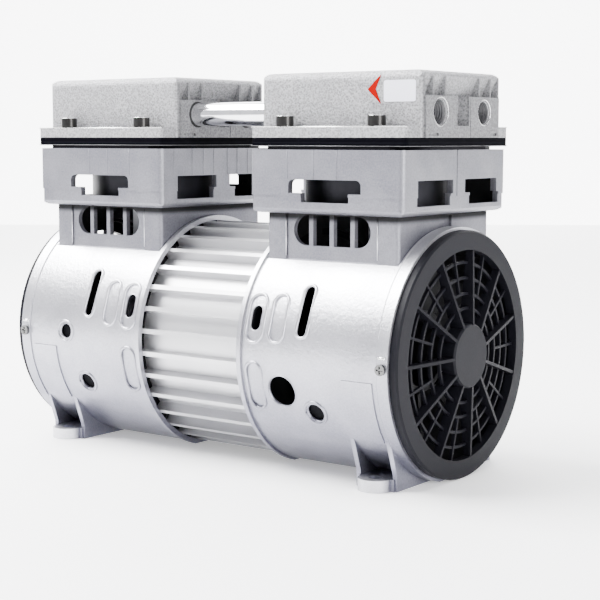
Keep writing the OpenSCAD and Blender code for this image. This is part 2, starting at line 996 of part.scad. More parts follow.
module rib_wedge(x)
    polygon([
        [x - rib_pocket_depth, block_z1],
        [x + over, block_z1],
        [x + over, block_z1 + rib_pocket_h],
        [x, block_z1 + rib_pocket_h]
    ]);

// Cuts in a port block: the notch between the ports, two thin slits and two reliefs at the foot
module block_cuts() {
    block(block_hx - notch_depth, block_hx + over, notch_y0, notch_y1,
        plate_z1 + notch_floor, block_z1 + over);
    for (y = slit_places)
        block(block_hx - slit_depth, block_hx + over, y - slit_w / 2, y + slit_w / 2,
            plate_z1 - over, block_z1 - head_corner);
    for (y = foot_reliefs)
        block(block_hx - foot_relief_depth, block_hx + over, y[0], y[1],
            plate_z1 + foot_relief_z, plate_z1 + foot_relief_z + foot_relief_h);
}

module port(y, r, depth)
    translate([head_x + block_hx, y, port_z]) {
        x_cyl(r, -depth, over, small_fn);
        x_cone(r, r + port_mouth + over, -port_mouth, over, small_fn);
    }

module tube_socket(y)
    translate([head_x - block_hx, y, port_z]) {
        x_cyl(tube_r + seat, -over, socket_depth + over, small_fn);
        x_cyl(seal_r + seat, -over, seal_depth, small_fn);
    }

module cylinder_head(ported)
    difference() {
        union() {
            along_z(plate_z1, flange_z1)
                flange_outline();
            head_body();
            block(head_x - block_hx, head_x + block_hx, -block_hy, block_hy, plate_z1, block_z1);
        }
        mirror_y()
            block(head_x - chamber_hx, head_x + chamber_hx, divider_w / 2, head_hy - head_wall,
                plate_z1 - over, head_z1 - head_wall);
        for (end = [-1, 1]) {
            rib_pockets(end);
            translate([head_x, 0, 0])
                facing(end)
                    block_cuts();
        }
        mirror_y()
            tube_socket(port_y);
        if (ported) {
            port(-port_y, intake_r, socket_depth + over);
            port(port_y, outlet_r, socket_depth + over);
        }
        at_head_screws()
            z_cyl(head_screw_r + slip, plate_z1 - over, flange_z1 + over, small_fn);
    }

module cylinder_head_left()
    color([0.78, 0.78, 0.79])
        unit(-1)
            cylinder_head(false);

module cylinder_head_right()
    color([0.78, 0.78, 0.79])
        unit(1)
            cylinder_head(true);

cap_r = 4.25;
cap_h = 5;
cap_socket_r = 2.3;
cap_socket_depth = 2.5;

module head_screw_set()
    at_head_screws()
        difference() {
            union() {
                z_cyl(head_screw_r, box_z1 - tapped_depth + over, flange_z1 + near_over, small_fn);
                z_cyl(cap_r, flange_z1, flange_z1 + cap_h, small_fn);
            }
            z_cyl(cap_socket_r, flange_z1 + cap_h - cap_socket_depth, flange_z1 + cap_h + over, 6);
        }

module head_screws_left()
    color([0.65, 0.66, 0.68])
        unit(-1)
            head_screw_set();

module head_screws_right()
    color([0.65, 0.66, 0.68])
        unit(1)
            head_screw_set();

// Link tubes between the heads, with a seal ring at each end
tube_wall = 1.4;
tube_end_gap = 3;
tube_half = head_x - block_hx + socket_depth - tube_end_gap;

module link_tube(y)
    color([0.9, 0.9, 0.92])
        translate([0, y, shaft_z + port_z])
            difference() {
                x_cyl(tube_r, -tube_half, tube_half, small_fn);
                x_cyl(tube_r - tube_wall, -tube_half - over, tube_half + over, small_fn);
            }

module link_tube_front()
    link_tube(-port_y);

module link_tube_rear()
    link_tube(port_y);

module tube_seals()
    color([0.08, 0.08, 0.09])
        for (side = [-1, 1])
            unit(side)
                mirror_y()
                    translate([head_x - block_hx + seal_depth - seal_w, port_y, port_z])
                        difference() {
                            x_cyl(seal_r, 0, seal_w, small_fn);
                            x_cyl(tube_r + fit, -over, seal_w + over, small_fn);
                        }

// Fan grille: ring, hub, deep spokes, and shallow arcs and half spokes set behind them
hub_front = 3.4;
hub_wall = 2;
hub_edge = 0.8;
ring_edge = 0.8;
spoke_w = 1.5;
spoke_rise = 0.4;
spoke_back = 0.2;
arc_w = 1.3;
arc_drop = 2.6;
arc_t = 1.6;
arc_shares = [0.207, 0.403, 0.614, 0.824];
half_spoke_w = 1.2;
skirt_len = 6;
skirt_t = 1.6;
ring_x1 = drum_out + ring_t;
hub_x1 = ring_x1 + hub_front;

// Front edge of a deep spoke at radius r
function spoke_front(r) =
    ring_x1 - spoke_rise + (hub_front + spoke_rise) * (opening_r - r) / (opening_r - hub_r);

function arc_radius(i) = hub_r + (opening_r - hub_r) * arc_shares[i];

module grille() {
    difference() {
        union() {
            x_cyl(ring_r, drum_out, ring_x1 - ring_edge);
            x_cone(ring_r, ring_r - ring_edge, ring_x1 - ring_edge, ring_x1);
            x_cyl(drum_ir - slip, drum_out - skirt_len, drum_out + near_over);
        }
        x_cyl(opening_r, drum_out - over, ring_x1 + over);
        x_cyl(drum_ir - slip - skirt_t, drum_out - skirt_len - over, drum_out);
        mirror_y()
            translate([grille_screw_x, 0, 0])
                rotate([90, 0, 0])
                    z_cyl(grille_screw_r + fit, opening_r, drum_r, small_fn);
    }
    difference() {
        union() {
            x_cyl(hub_r, drum_out + spoke_back, hub_x1 - hub_edge);
            x_cone(hub_r, hub_r - hub_edge, hub_x1 - hub_edge, hub_x1);
            for (i = [0:spoke_count - 1])
                rotate([180 + i * 360 / spoke_count, 0, 0]) {
                    along_z(-spoke_w / 2, spoke_w / 2)
                        polygon([
                            [drum_out + spoke_back, hub_r - hub_wall],
                            [drum_out + spoke_back, opening_r + near_over],
                            [spoke_front(opening_r), opening_r + near_over],
                            [spoke_front(hub_r), hub_r - hub_wall]
                        ]);
                    rotate([180 / spoke_count, 0, 0])
                        along_z(-half_spoke_w / 2, half_spoke_w / 2)
                            polygon([
                                [spoke_front(arc_radius(1)) - arc_drop - arc_t, arc_radius(1)],
                                [drum_out + spoke_back, opening_r + near_over],
                                [spoke_front(opening_r) - arc_drop + near_over, opening_r + near_over],
                                [spoke_front(arc_radius(1)) - arc_drop, arc_radius(1)]
                            ]);
                }
            for (i = [0:len(arc_shares) - 1])
                grille_arc(arc_radius(i));
        }
        x_cyl(hub_r - hub_wall, drum_out, hub_x1 - hub_wall);
    }
}

module grille_arc(r) {
    x1 = spoke_front(r) - arc_drop;
    difference() {
        x_cyl(r + arc_w / 2, x1 - arc_t, x1);
        x_cyl(r - arc_w / 2, x1 - arc_t - over, x1 + over);
    }
}

module grille_left()
    color([0.2, 0.2, 0.22])
        unit(-1)
            grille();

module grille_right()
    color([0.2, 0.2, 0.22])
        unit(1)
            grille();

grille_cap_r = 2.6;
grille_cap_h = 1.5;
recess_w = 0.8;
recess_len = 3.6;
recess_depth = 0.8;

// A capped screw along Z with a cross recess
module grille_screw() {
    z0 = drum_r + band_step;
    z1 = z0 + grille_cap_h;
    difference() {
        union() {
            z_cyl(grille_screw_r, drum_ir - slip - skirt_t - near_over, z0 + near_over, small_fn);
            z_cyl(grille_cap_r, z0, z1, small_fn);
        }
        block(-recess_w / 2, recess_w / 2, -recess_len / 2, recess_len / 2, z1 - recess_depth, z1 + over);
        block(-recess_len / 2, recess_len / 2, -recess_w / 2, recess_w / 2, z1 - recess_depth, z1 + over);
    }
}

module grille_screws()
    color([0.65, 0.66, 0.68])
        for (side = [-1, 1])
            unit(side)
                mirror_y()
                    translate([grille_screw_x, 0, 0])
                        rotate([90, 0, 0])
                            grille_screw();

// Label on the front of the right head, beside a plain flow arrow pointing along -X
label_t = 0.25;
label_corner = 1;
label_dx = 25.4;
label_w = 17.2;
label_rise = 16.4;
label_h = 9.8;
label_x0 = head_x + label_dx;
label_x1 = label_x0 + label_w;
label_z0 = plate_z1 + label_rise;
label_z1 = label_z0 + label_h;
arrow_dx = 16.4;
arrow_rise = 22.2;
arrow_x = head_x + arrow_dx;
arrow_z = plate_z1 + arrow_rise;
arrow_len = 7.5;
arrow_h = 6.8;
arrow_notch = 4.3;

module flow_label()
    color([0.9, 0.9, 0.95])
        unit(1)
            along_y(-head_hy - label_t, -head_hy)
                round_rect(label_x0, label_x1, label_z0, label_z1, label_corner);

module flow_arrow()
    color([0.85, 0.1, 0.1])
        unit(1)
            along_y(-head_hy - label_t, -head_hy)
                polygon([
                    [arrow_x, arrow_z],
                    [arrow_x + arrow_len, arrow_z - arrow_h],
                    [arrow_x + arrow_notch, arrow_z],
                    [arrow_x + arrow_len, arrow_z + arrow_h]
                ]);

// Shaft and rotor
rotor_shaft_step = 0.8;
shaft_reach = 11;
shaft_end = boss_x1 + shaft_reach;
end_ring_t = 6;
end_ring_wall = 8;

module motor_shaft()
    color([0.7, 0.7, 0.72])
        translate([0, 0, shaft_z])
            union() {
                x_cyl(shaft_r, -shaft_end, shaft_end);
                x_cyl(shaft_r + rotor_shaft_step, -stack_len / 2 - end_ring_t, stack_len / 2 + end_ring_t);
            }

module rotor_core()
    color([0.5, 0.5, 0.53])
        translate([0, 0, shaft_z]) {
            difference() {
                x_cyl(rotor_r, -stack_len / 2, stack_len / 2);
                x_cyl(shaft_r + rotor_shaft_step + fit, -stack_len / 2 - over, stack_len / 2 + over);
            }
            for (s = [-1, 1])
                facing(s)
                    difference() {
                        x_cyl(rotor_r - near_over, stack_len / 2, stack_len / 2 + end_ring_t);
                        x_cyl(rotor_r - end_ring_wall, stack_len / 2 - over,
                            stack_len / 2 + end_ring_t + over);
                    }
        }

// Ball bearings: a ring each side of a row of balls, with grooves a little larger than the balls
ball_count = 8;
ball_share = 0.3;
race_share = 0.3;
groove_gap = 0.1;

function ball_ring_r(ir, outer) = (ir + outer) / 2;

function ball_r(ir, outer) = (outer - ir) * ball_share;

module groove(ir, outer)
    rotate([0, 90, 0])
        rotate_extrude($fn = round_fn)
            translate([ball_ring_r(ir, outer), 0])
                circle(r = ball_r(ir, outer) + groove_gap, $fn = small_fn);

module bearing_inner(ir, outer, w) {
    ring_wall = (outer - ir) * race_share;
    difference() {
        x_cyl(ir + ring_wall, -w / 2, w / 2);
        x_cyl(ir, -w / 2 - over, w / 2 + over);
        groove(ir, outer);
    }
}

module bearing_outer(ir, outer, w) {
    ring_wall = (outer - ir) * race_share;
    difference() {
        x_cyl(outer, -w / 2, w / 2);
        x_cyl(outer - ring_wall, -w / 2 - over, w / 2 + over);
        groove(ir, outer);
    }
    for (i = [0:ball_count - 1])
        rotate([i * 360 / ball_count, 0, 0])
            translate([0, ball_ring_r(ir, outer), 0])
                sphere(r = ball_r(ir, outer), $fn = small_fn);
}

main_x = seat_x0 + main_w / 2;

module main_bearing_outers()
    color([0.75, 0.76, 0.78])
        for (side = [-1, 1])
            unit(side)
                translate([main_x, 0, 0])
                    bearing_outer(shaft_r + fit, main_or, main_w);

module main_bearing_inners()
    color([0.75, 0.76, 0.78])
        for (side = [-1, 1])
            unit(side)
                translate([main_x, 0, 0])
                    bearing_inner(shaft_r + fit, main_or, main_w);

// Crank: hub on the shaft's end, counterweight and an overhung pin; the throw is along +Y
crank_hub_r = 13;
collar_wall = 2;
pin_reach = 0.8;
web_x1 = cyl_x - pin_w / 2 - collar_len;
web_x0 = web_x1 - web_thick;
collar_r = pin_r + collar_wall;
pin_x1 = cyl_x + pin_w / 2 + pin_reach;
weight_r = 37;
weight_a = 62;
hub_gap = 0.6;
set_screw_r = 2.5;
set_screw_edge = 4;
pin_screw_r = 1.5;
pin_screw_depth = 9;
pin_screw_y0 = throw / 2;
pin_screw_y1 = throw * 3 / 2;

module crank()
    difference() {
        union() {
            x_cyl(crank_hub_r, boss_x1 + hub_gap, web_x1);
            intersection() {
                x_cyl(weight_r, web_x0, web_x1);
                along_x(web_x0 - over, web_x1 + over)
                    sector(weight_r, 180 - weight_a, 180 + weight_a);
            }
            translate([0, throw, 0]) {
                x_cyl(collar_r, web_x0, cyl_x - pin_w / 2);
                x_cyl(pin_r, cyl_x - pin_w / 2 - over, pin_x1);
            }
        }
        x_cyl(shaft_r + fit, boss_x1 - over, shaft_end + fit);
        for (y = [pin_screw_y0, pin_screw_y1])
            translate([0, y, 0])
                x_cyl(pin_screw_r + seat, pin_x1 - pin_screw_depth, pin_x1 + over, small_fn);
        translate([boss_x1 + set_screw_edge, 0, 0])
            rotate([-90, 0, 0])
                z_cyl(set_screw_r + fit, 0, crank_hub_r + over, small_fn);
    }

module crank_left()
    color([0.45, 0.46, 0.48])
        crank_unit(-1)
            crank();

module crank_right()
    color([0.45, 0.46, 0.48])
        crank_unit(1)
            crank();

module crank_set_screws()
    color([0.25, 0.25, 0.27])
        for (side = [-1, 1])
            crank_unit(side)
                translate([boss_x1 + set_screw_edge, 0, 0])
                    rotate([-90, 0, 0])
                        z_cyl(set_screw_r, shaft_r + seat, crank_hub_r - near_over, small_fn);

module pin_bearing_inners()
    color([0.75, 0.76, 0.78])
        for (side = [-1, 1])
            crank_unit(side)
                translate([cyl_x, throw, 0])
                    bearing_inner(pin_r + fit, pin_or, pin_w);

module pin_bearing_outer()
    translate([cyl_x, throw, 0])
        bearing_outer(pin_r + fit, pin_or, pin_w);

module pin_bearing_outer_left()
    color([0.75, 0.76, 0.78])
        crank_unit(-1)
            pin_bearing_outer();

module pin_bearing_outer_right()
    color([0.75, 0.76, 0.78])
        crank_unit(1)
            pin_bearing_outer();

// Piston, at mid-stroke, and the rod under it
cup_t = 0.8;
cup_lip_h = 3.2;
cup_lip_t = 1;
cap_t = 2.6;
piston_plate_t = 5;
plate_gap = 0.6;
clamp_gap = 2;
plate_r = bore_r - plate_gap;
clamp_r = bore_r - clamp_gap;
piston_z1 = plate_z0 - top_gap - throw;
cap_z0 = piston_z1 - cap_t;
cup_z0 = cap_z0 - cup_t;
piston_z0 = cup_z0 - piston_plate_t;
piston_screw_r = 3;
piston_head_r = 6.5;
piston_head_h = 1.6;

module at_cylinder()
    translate([cyl_x, 0, 0])
        children();

module piston_plate()
    at_cylinder()
        difference() {
            z_cyl(plate_r, piston_z0, cup_z0);
            z_cyl(piston_screw_r + fit, piston_z0 - over, cup_z0 + over, small_fn);
        }

module piston_cup()
    at_cylinder()
        difference() {
            z_cyl(bore_r - fit, cup_z0, cup_z0 + cup_lip_h);
            z_cyl(bore_r - fit - cup_lip_t, cup_z0 + cup_t, cup_z0 + cup_lip_h + over);
            z_cyl(piston_screw_r + fit, cup_z0 - over, cup_z0 + over + cup_t, small_fn);
        }

module piston_cap()
    at_cylinder()
        difference() {
            z_cyl(clamp_r, cap_z0, piston_z1);
            z_cyl(piston_screw_r + fit, cap_z0 - over, piston_z1, small_fn);
            z_cyl(piston_head_r + slip, piston_z1 - piston_head_h, piston_z1 + over, small_fn);
        }

module piston_screw()
    at_cylinder()
        union() {
            z_cyl(piston_screw_r, piston_z0 + seat, piston_z1 - piston_head_h + near_over, small_fn);
            z_cyl(piston_head_r, piston_z1 - piston_head_h, piston_z1 - seat, small_fn);
        }

module piston_plate_left()
    color([0.8, 0.8, 0.82])
        unit(-1)
            piston_plate();

module piston_plate_right()
    color([0.8, 0.8, 0.82])
        unit(1)
            piston_plate();

module piston_cup_left()
    color([0.25, 0.2, 0.17])
        unit(-1)
            piston_cup();

module piston_cup_right()
    color([0.25, 0.2, 0.17])
        unit(1)
            piston_cup();

module piston_cap_left()
    color([0.8, 0.8, 0.82])
        unit(-1)
            piston_cap();

module piston_cap_right()
    color([0.8, 0.8, 0.82])
        unit(1)
            piston_cap();

module piston_screw_left()
    color([0.5, 0.5, 0.53])
        unit(-1)
            piston_screw();

module piston_screw_right()
    color([0.5, 0.5, 0.53])
        unit(1)
            piston_screw();

rod_ring_t = 5;
rod_pad_t = 4;
rod_pad_edge = 1.2;
rod_pad_r = bore_r - throw - rod_pad_edge;
rod_pad_z1 = piston_z0 - run;
rod_cone_h = 9;
rod_hx = 5;
rod_hy = 9;
rod_web_t = 4;
rod_flange_t = 3;

module con_rod()
    translate([cyl_x, throw, 0])
        difference() {
            union() {
                x_cyl(pin_or + rod_ring_t, -pin_w / 2, pin_w / 2);
                block(-rod_hx, rod_hx, -rod_hy, rod_hy, pin_or, rod_pad_z1 - rod_pad_t);
                translate([0, 0, rod_pad_z1 - rod_pad_t - rod_cone_h])
                    cylinder(r1 = rod_hy, r2 = rod_pad_r - rod_pad_edge, h = rod_cone_h, $fn = round_fn);
                z_cyl(rod_pad_r, rod_pad_z1 - rod_pad_t, rod_pad_z1);
            }
            x_cyl(pin_or + fit, -pin_w, pin_w);
            for (s = [-1, 1])
                facing(s)
                    block(rod_web_t / 2, rod_hx + over, -rod_hy + rod_flange_t, rod_hy - rod_flange_t,
                        pin_or + rod_ring_t + rod_flange_t, rod_pad_z1 - rod_pad_t - rod_cone_h);
        }

module con_rod_left()
    color([0.72, 0.73, 0.75])
        crank_unit(-1)
            con_rod();

module con_rod_right()
    color([0.72, 0.73, 0.75])
        crank_unit(1)
            con_rod();

// Fan on the end of the crank pin, turning about the shaft
fan_base_t = 3;
fan_hub_r = 20;
fan_hub_len = 20;
fan_hub_wall = 2.5;
blade_t = 2;
blade_chord = 27;
blade_a = 38;
fan_x0 = pin_x1;
fan_x1 = fan_x0 + fan_hub_len;

module fan()
    difference() {
        union() {
            difference() {
                x_cyl(fan_hub_r, fan_x0, fan_x1);
                x_cyl(fan_hub_r - fan_hub_wall, fan_x0 + fan_base_t, fan_x1 + over);
            }
            intersection() {
                for (i = [0:blade_count - 1])
                    rotate([i * 360 / blade_count, 0, 0])
                        translate([(fan_x0 + fan_x1) / 2, 0, 0])
                            blade();
                x_cyl(fan_r, fan_x0, fan_x1);
            }
        }
        for (y = [pin_screw_y0, pin_screw_y1])
            translate([0, y, 0])
                x_cyl(pin_screw_r + seat, fan_x0 - over, fan_x0 + fan_base_t + over, small_fn);
    }

// One flat blade along +Y, pitched about its length
module blade()
    rotate([0, blade_a, 0])
        block(-blade_chord / 2, blade_chord / 2, fan_hub_r - near_over, fan_r + over,
            -blade_t / 2, blade_t / 2);

module fan_left()
    color([0.15, 0.15, 0.16])
        crank_unit(-1)
            fan();

module fan_right()
    color([0.15, 0.15, 0.16])
        crank_unit(1)
            fan();

fan_cap_r = 2.7;
fan_cap_h = 2.5;

module fan_screw(y)
    translate([0, y, 0])
        union() {
            x_cyl(pin_screw_r, pin_x1 - pin_screw_depth + near_over, fan_x0 + fan_base_t + near_over,
                small_fn);
            x_cyl(fan_cap_r, fan_x0 + fan_base_t, fan_x0 + fan_base_t + fan_cap_h, small_fn);
        }

module fan_screws()
    color([0.6, 0.6, 0.62])
        for (side = [-1, 1])
            crank_unit(side)
                fan_screw(pin_screw_y1);

module inner_fan_screw_left()
    color([0.6, 0.6, 0.62])
        crank_unit(-1)
            fan_screw(pin_screw_y0);

module inner_fan_screw_right()
    color([0.6, 0.6, 0.62])
        crank_unit(1)
            fan_screw(pin_screw_y0);

crankcase_left();
crankcase_right();
stator_housing();
stator_core();
stator_windings();
stator_bolts();
stator_nuts();
cylinder_liner_left();
cylinder_liner_right();
gasket_left();
gasket_right();
valve_plate_left();
valve_plate_right();
cylinder_head_left();
cylinder_head_right();
head_screws_left();
head_screws_right();
link_tube_front();
link_tube_rear();
tube_seals();
grille_left();
grille_right();
grille_screws();
main_bearing_outers();
main_bearing_inners();
reed_clamps();
exhaust_stops();
intake_reed_left();
intake_reed_right();
exhaust_reed_left();
exhaust_reed_right();
flow_label();
flow_arrow();
motor_shaft();
rotor_core();
crank_left();
crank_right();
crank_set_screws();
pin_bearing_inners();
pin_bearing_outer_left();
pin_bearing_outer_right();
con_rod_left();
con_rod_right();
piston_plate_left();
piston_plate_right();
piston_cup_left();
piston_cup_right();
piston_cap_left();
piston_cap_right();
piston_screw_left();
piston_screw_right();
fan_left();
fan_right();
fan_screws();
inner_fan_screw_left();
inner_fan_screw_right();
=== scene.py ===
# %% [markdown]
# # An oil-free twin-cylinder pump head
#
# The solids of this pump head are already modelled and packed: castings, fins, valve plates, grilles
# and everything that turns inside. This notebook loads them, gives each surface the finish of the real
# material, and adds the small turned and moulded details that are easier to shape here.
# Lengths are metres in Blender; the small ones are written in millimetres times MM.

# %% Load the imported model
import math

import bmesh
import bpy
from mathutils import Matrix, Vector


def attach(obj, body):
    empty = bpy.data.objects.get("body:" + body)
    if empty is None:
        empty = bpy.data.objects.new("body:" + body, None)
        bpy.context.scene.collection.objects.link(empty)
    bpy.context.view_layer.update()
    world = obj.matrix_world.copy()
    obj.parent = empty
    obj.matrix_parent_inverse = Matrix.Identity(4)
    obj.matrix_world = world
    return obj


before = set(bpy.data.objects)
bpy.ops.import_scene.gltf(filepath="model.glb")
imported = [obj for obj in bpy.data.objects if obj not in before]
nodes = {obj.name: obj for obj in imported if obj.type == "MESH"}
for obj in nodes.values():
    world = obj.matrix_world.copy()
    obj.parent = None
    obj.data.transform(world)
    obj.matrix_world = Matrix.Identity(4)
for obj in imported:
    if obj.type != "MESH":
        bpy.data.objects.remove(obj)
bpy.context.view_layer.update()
MM = 0.001
SHAFT_Z = 59.9 * MM

# %% [markdown]
# ## Camera
#
# A product photograph is taken from a little above and well to one side. The place, direction and
# focal length below give the photograph's perspective, so every edge runs the way it does there.
# A camera looks along its own -Z, so its axes are built from the direction it looks in.

# %% Put the camera at the photograph's place
CAMERA_PLACE = Vector((473.34, -601.44, 163.34)) * MM
CAMERA_AZIMUTH = math.radians(36.752)
CAMERA_DOWN = math.radians(6.332)
CAMERA_ROLL = math.radians(0.045)
LENS = 87.53

look = Vector((
    -math.sin(CAMERA_AZIMUTH) * math.cos(CAMERA_DOWN),
    math.cos(CAMERA_AZIMUTH) * math.cos(CAMERA_DOWN),
    -math.sin(CAMERA_DOWN),
))
level_right = Vector((math.cos(CAMERA_AZIMUTH), math.sin(CAMERA_AZIMUTH), 0))
level_up = level_right.cross(look)
right = math.cos(CAMERA_ROLL) * level_right + math.sin(CAMERA_ROLL) * level_up
up = math.cos(CAMERA_ROLL) * level_up - math.sin(CAMERA_ROLL) * level_right

camera_data = bpy.data.cameras.new("studio_camera")
camera_data.lens = LENS
camera_data.sensor_width = 36
camera_data.clip_start = 0.01
camera_data.clip_end = 50
camera = bpy.data.objects.new("studio_camera", camera_data)
camera.matrix_world = Matrix((
    (right.x, up.x, -look.x, CAMERA_PLACE.x),
    (right.y, up.y, -look.y, CAMERA_PLACE.y),
    (right.z, up.z, -look.z, CAMERA_PLACE.z),
    (0, 0, 0, 1),
))
bpy.context.scene.collection.objects.link(camera)
bpy.context.scene.camera = camera
print("camera at", [round(v, 4) for v in CAMERA_PLACE])

# %% [markdown]
# ## Shader maths in plain expressions
#
# A procedural finish is mostly arithmetic on noise. Wiring Math nodes by hand is slow to read, so this
# small class wraps a socket: `1 - mask * 0.3` adds the nodes by itself. Every other node comes from one
# method that takes the node's type, its settings, and what its sockets are fed with.

# %% A socket that can be added and multiplied
class Value:
    """A node socket that takes part in sums; each operator adds one Math node."""

    def __init__(self, finish, socket):
        self.finish = finish
        self.socket = socket

    def math(self, operation, *others, clamp=False):
        return self.finish.node("Math", {"operation": operation, "use_clamp": clamp}, [self, *others])

    def __add__(self, other):
        return self.math("ADD", other)

    def __mul__(self, other):
        return self.math("MULTIPLY", other)

    def __sub__(self, other):
        return self.math("SUBTRACT", other)

    def __rsub__(self, other):
        return self.finish.node("Math", {"operation": "SUBTRACT"}, [other, self])

    def __truediv__(self, other):
        return self.math("DIVIDE", other)

    def __gt__(self, other):
        return self.math("GREATER_THAN", other)

    def __lt__(self, other):
        return self.math("LESS_THAN", other)

    __radd__ = __add__
    __rmul__ = __mul__

    def between(self, low, high):
        """0 at low, 1 at high, smooth in between."""
        return self.finish.node(
            "MapRange",
            {"interpolation_type": "SMOOTHSTEP"},
            {"Value": self, "From Min": low, "From Max": high},
            "Result",
        )


# %% A material that is built node by node
class Finish:
    """One material: node() adds a node, and the methods below it are the patterns used here."""

    def __init__(self, name):
        self.material = bpy.data.materials.new(name)
        self.material.use_nodes = True
        self.tree = self.material.node_tree
        self.tree.nodes.clear()
        self.surface = self.tree.nodes.new("ShaderNodeBsdfPrincipled")
        output = self.tree.nodes.new("ShaderNodeOutputMaterial")
        self.tree.links.new(self.surface.outputs["BSDF"], output.inputs["Surface"])

    def feed(self, socket, value):
        if isinstance(value, Value):
            self.tree.links.new(value.socket, socket)
        elif hasattr(socket.default_value, "__len__") and len(socket.default_value) == 4 and len(value) == 3:
            socket.default_value = (*value, 1)
        else:
            socket.default_value = value

    def node(self, kind, settings=None, sockets=None, out=0):
        made = self.tree.nodes.new("ShaderNode" + kind)
        for key, value in (settings or {}).items():
            setattr(made, key, value)
        pairs = sockets.items() if isinstance(sockets, dict) else enumerate(sockets or [])
        for key, value in pairs:
            self.feed(made.inputs[key], value)
        return Value(self, made.outputs[out])

    def set(self, **sockets):
        for key, value in sockets.items():
            self.feed(self.surface.inputs[key.replace("_", " ")], value)
        return self

    def position(self):
        """The place on the model along each axis, in metres."""
        place = self.node("TexCoord", out="Object")
        return [self.node("SeparateXYZ", {}, [place], axis) for axis in "XYZ"]

    def place(self, scale=(1, 1, 1)):
        """Object coordinates in metres, stretched by scale."""
        place = self.node("TexCoord", out="Object")
        return self.node("Mapping", {}, {"Vector": place, "Scale": scale})

    def noise(self, size, detail=2.0, rough=0.5, stretch=(1, 1, 1)):
        """Soft random blotches of about that size in metres."""
        scale = [s / size for s in stretch]
        return self.node(
            "TexNoise", {}, {"Vector": self.place(scale), "Scale": 1, "Detail": detail, "Roughness": rough}
        )

    def grains(self, size, randomness=1.0):
        """Distance to the nearest of many scattered grains."""
        return self.node(
            "TexVoronoi",
            {"feature": "F1"},
            {"Vector": self.place([1 / size] * 3), "Scale": 1, "Randomness": randomness},
            "Distance",
        )

    def mix(self, factor, low, high):
        """low where factor is 0, high where it is 1, as colours."""
        made = self.tree.nodes.new("ShaderNodeMix")
        made.data_type = "RGBA"
        self.feed(made.inputs[0], factor)
        self.feed(made.inputs[6], low)
        self.feed(made.inputs[7], high)
        return Value(self, made.outputs[2])

    def bump(self, height, depth, strength=1.0, under=None):
        """A Bump node; depth is the height in metres where height is 1."""
        sockets = {"Height": height, "Distance": depth, "Strength": strength}
        if under:
            sockets["Normal"] = under
        return self.node("Bump", {}, sockets, "Normal")


# %% [markdown]
# ## Die-cast drums
#
# The two crankcases are pressure die castings, blasted to an even satin. Close up the surface is a very
# fine grain with faint clouds where the metal cooled at different speeds. Three noises make it: a fine
# and a wide one move the colour, the fine one also the roughness, and a middling one adds soft dents.
# The drums darken towards the floor as painted shade, and their feet keep the lighter, painted lit colour.
# The boxes and necks are duller, with painted shade on their fronts and painted light on their ends, and
# the hollows are painted nearly black as shade. Masks on the place on the model make these zones, which
# needs no cut in the mesh.

# %% Finish for the castings
CYLINDER_X = 73.0
DRUM_HOLLOW_R = 59.4
BOX_HOLLOW = (40.9, 43.6)
NECK_HOLLOW = (34.8, 37.7)
NECK_HOLLOW_Z = 40
NECK_OUTSIDE = (38.3, 41.15)
NECK_FOOT_Z = 44
BOX_BOTTOM_Z = (63, 66)
BOX_END = (42, 44)
# SHADE_Z spans the painted shade towards the floor; FOOT_Y and FOOT_Z mark the feet, which keep the painted
# lit colour.
SHADE_Z = (-50, 48)
FOOT_Y = (43, 52)
FOOT_Z = (-52, -34)


def die_cast():
    f = Finish("die_cast")
    clouds = f.noise(24 * MM, 3)
    grain = f.noise(0.9 * MM, 3, 0.7)
    mottle = f.noise(2.2 * MM, 2, 0.6)
    x, y, z = f.position()
    rise = z - SHAFT_Z
    off_y = y.math("ABSOLUTE")
    from_cylinder = (x.math("ABSOLUTE") - CYLINDER_X * MM).math("ABSOLUTE")

    def within(half_sizes):
        return (off_y < half_sizes[1] * MM) * (from_cylinder < half_sizes[0] * MM)

    def ramp(value, ends):
        return value.between(ends[0] * MM, ends[1] * MM)

    above = ramp(rise, BOX_BOTTOM_Z)
    # Painted shade: the hollows of the drum, box and neck are painted nearly black, where shade falls.
    hollow_drum = y * y + rise * rise < (DRUM_HOLLOW_R * MM) ** 2
    hollow_box = within(BOX_HOLLOW) * above
    hollow_neck = within(NECK_HOLLOW) * (rise > NECK_HOLLOW_Z * MM)
    painted_hollow_shade = (hollow_drum + hollow_box + hollow_neck).math("MINIMUM", 1.0)
    neck = within(NECK_OUTSIDE) * (rise > NECK_FOOT_Z * MM)
    box = above.math("MAXIMUM", neck)
    tone = clouds.between(0.35, 0.7) * 0.5 + grain.between(0.3, 0.7) * 0.5
    # Painted light and shade: high is a lit copy of the drum colour and low a shaded copy, mixed by height.
    high = f.mix(tone, (0.50, 0.50, 0.53), (0.68, 0.68, 0.715))
    low = f.mix(tone, (0.16, 0.16, 0.20), (0.25, 0.25, 0.30))
    painted_lit_foot = ramp(off_y, FOOT_Y) * (1 - ramp(rise, FOOT_Z))
    drum = f.mix(ramp(rise, SHADE_Z).math("MAXIMUM", painted_lit_foot), low, high)
    # Painted light and shade: a box's front gets a darker copy of its colour and its ends a lighter one.
    painted_shade_front = f.mix(tone, (0.14, 0.14, 0.163), (0.23, 0.23, 0.253))
    ends = f.mix(tone, (0.20, 0.20, 0.223), (0.32, 0.32, 0.343))
    upper = f.mix(ramp(from_cylinder, BOX_END), painted_shade_front, ends)
    colour = f.mix(painted_hollow_shade, f.mix(box, drum, upper), (0.008, 0.008, 0.009))
    f.set(
        Base_Color=colour,
        Metallic=0.85 - painted_hollow_shade * 0.85,
        Specular_IOR_Level=0.2,
        Roughness=0.26 + grain * 0.14 + painted_hollow_shade * 0.4 + box * 0.14,
        Normal=f.bump(grain, 0.1 * MM, 0.8, f.bump(mottle, 0.18 * MM, 0.8)),
    )
    return f.material


